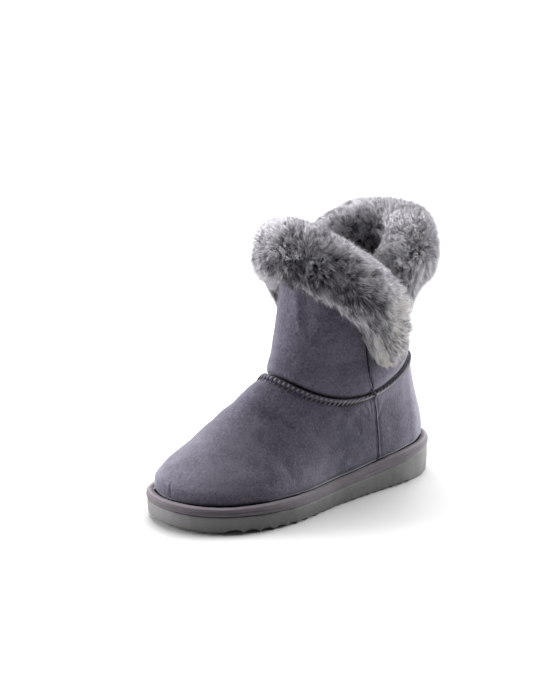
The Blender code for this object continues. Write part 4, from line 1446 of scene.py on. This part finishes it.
def strand_object(name, points, soft, tone, material):
    """One mesh of many strands, each a slim kite, shaded as if it were part of the cuff's surface."""
    count = len(points)
    first = np.arange(count)[:, None] * 4
    triangles = np.concatenate([first + [0, 2, 1], first + [1, 2, 3]])
    piece = build_object(name, points.reshape(-1, 3), triangles=triangles, material=material)
    mesh = piece.data
    along = np.tile(np.array([0.0, 0.55, 0.55, 1.0]), count)
    tones = np.repeat(tone, 4)
    paint(piece, along=along, tone=tones)
    vertex = np.empty(len(mesh.loops), np.int32)
    mesh.loops.foreach_get("vertex_index", vertex)
    uv = mesh.uv_layers.new(name="OFBake")
    places = np.stack([tones[vertex], along[vertex]], 1) * 0.96 + 0.02
    uv.uv.foreach_set("vector", places.astype(np.float32).ravel())
    mesh.normals_split_custom_set_from_vertices(np.repeat(soft, 4, axis=0).tolist())
    return piece


# ---------------------------------------------------------------- camera, light and floor
CAMERA_AZIMUTH = 50.42  # degrees from the boot's toe-on view
CAMERA_ELEVATION = 19.89
CAMERA_DISTANCE = 1.8
CAMERA_ROLL = -0.2
CAMERA_TARGET = (0.0, 0.0, 0.05)
CAMERA_FOCAL = 3.9687  # in widths of the picture
CAMERA_SHIFT = (-0.0330, 0.1529)
FLOOR_HALF = 12.0
LIGHTS = (
    # name, azimuth, elevation, strength, softness (degrees)
    ("left", -48, 16, 5.6, 36),
    ("right", 166, 17, 6.0, 40),
    ("top", 235, 66, 5.8, 60),
)


def axes_towards(azimuth, elevation):
    """Right, up and back for something that looks at the boot from this bearing and height, in degrees."""
    a, e = np.radians([azimuth, elevation])
    right = np.array([np.cos(a), np.sin(a), 0.0])
    back = np.array([np.sin(a) * np.cos(e), -np.cos(a) * np.cos(e), np.sin(e)])
    return right, np.cross(back, right), back


def put(data, *axes_and_place):
    """An object of this data in the scene, with these axes at this place."""
    made = bpy.data.objects.new(data.name, data)
    made.matrix_world = Matrix([[float(v[k]) for v in axes_and_place] for k in range(3)] + [[0, 0, 0, 1]])
    bpy.context.scene.collection.objects.link(made)
    return made


def make_camera():
    data = bpy.data.cameras.new("camera")
    data.sensor_fit = "HORIZONTAL"
    data.sensor_width = 36.0
    data.lens = CAMERA_FOCAL * data.sensor_width
    data.shift_x, data.shift_y = CAMERA_SHIFT
    data.clip_start = 0.05
    right, up, back = axes_towards(CAMERA_AZIMUTH, CAMERA_ELEVATION)
    c, s = np.cos(np.radians(CAMERA_ROLL)), np.sin(np.radians(CAMERA_ROLL))
    place = np.array(CAMERA_TARGET) + CAMERA_DISTANCE * back
    bpy.context.scene.camera = put(data, c * right - s * up, s * right + c * up, back, place)


def make_light(name, azimuth, elevation, strength, softness):
    """A wide soft light from this bearing and height, even over the whole floor. Angles in degrees."""
    data = bpy.data.lights.new(name, "SUN")
    data.energy = strength
    data.angle = np.radians(softness)
    right, up, back = axes_towards(azimuth, elevation)
    put(data, right, up, back, 3.0 * back)


def make_stage():
    n = Nodes("floor", 0.35, 0.35)
    n.colour(n.mix(n.noise(3.0, 2, 0.5), (0.55, 0.55, 0.55), (0.57, 0.57, 0.565)))
    corners = [(x * FLOOR_HALF, y * FLOOR_HALF, 0) for x, y in ((-1, -1), (1, -1), (1, 1), (-1, 1))]
    floor = build_object("floor", corners, [(0, 1, 2, 3)], material=n.material)
    world = bpy.data.worlds.new("studio")
    world.use_nodes = True
    sky = world.node_tree.nodes["Background"].inputs
    sky["Color"].default_value = (0.98, 0.99, 1.0, 1)
    sky["Strength"].default_value = 0.16
    bpy.context.scene.world = world
    for light in LIGHTS:
        make_light(*light)
    bpy.context.scene.view_settings.view_transform = "Standard"


# ---------------------------------------------------------------- build
def main():
    make_camera()
    make_stage()
    suede = suede_material()
    thread = thread_material()
    fleece = fleece_material()
    make_outsole(outsole_material())
    make_band(band_material())
    make_insole(fleece)
    make_lining(fleece)
    make_upper(suede)
    make_shaft(suede)
    make_ankle_seam(suede, thread)
    make_seam_folds(suede)
    part = 1.0
    fur = fur_material()
    grow_fur("fur_front", CUFF_FRONT, int(FRONT_STRANDS * part), 61, fur, "fur_cuff_front")
    grow_fur("fur_back", CUFF_BACK, int(BACK_STRANDS * part), 62, fur, "fur_cuff_back")


main()
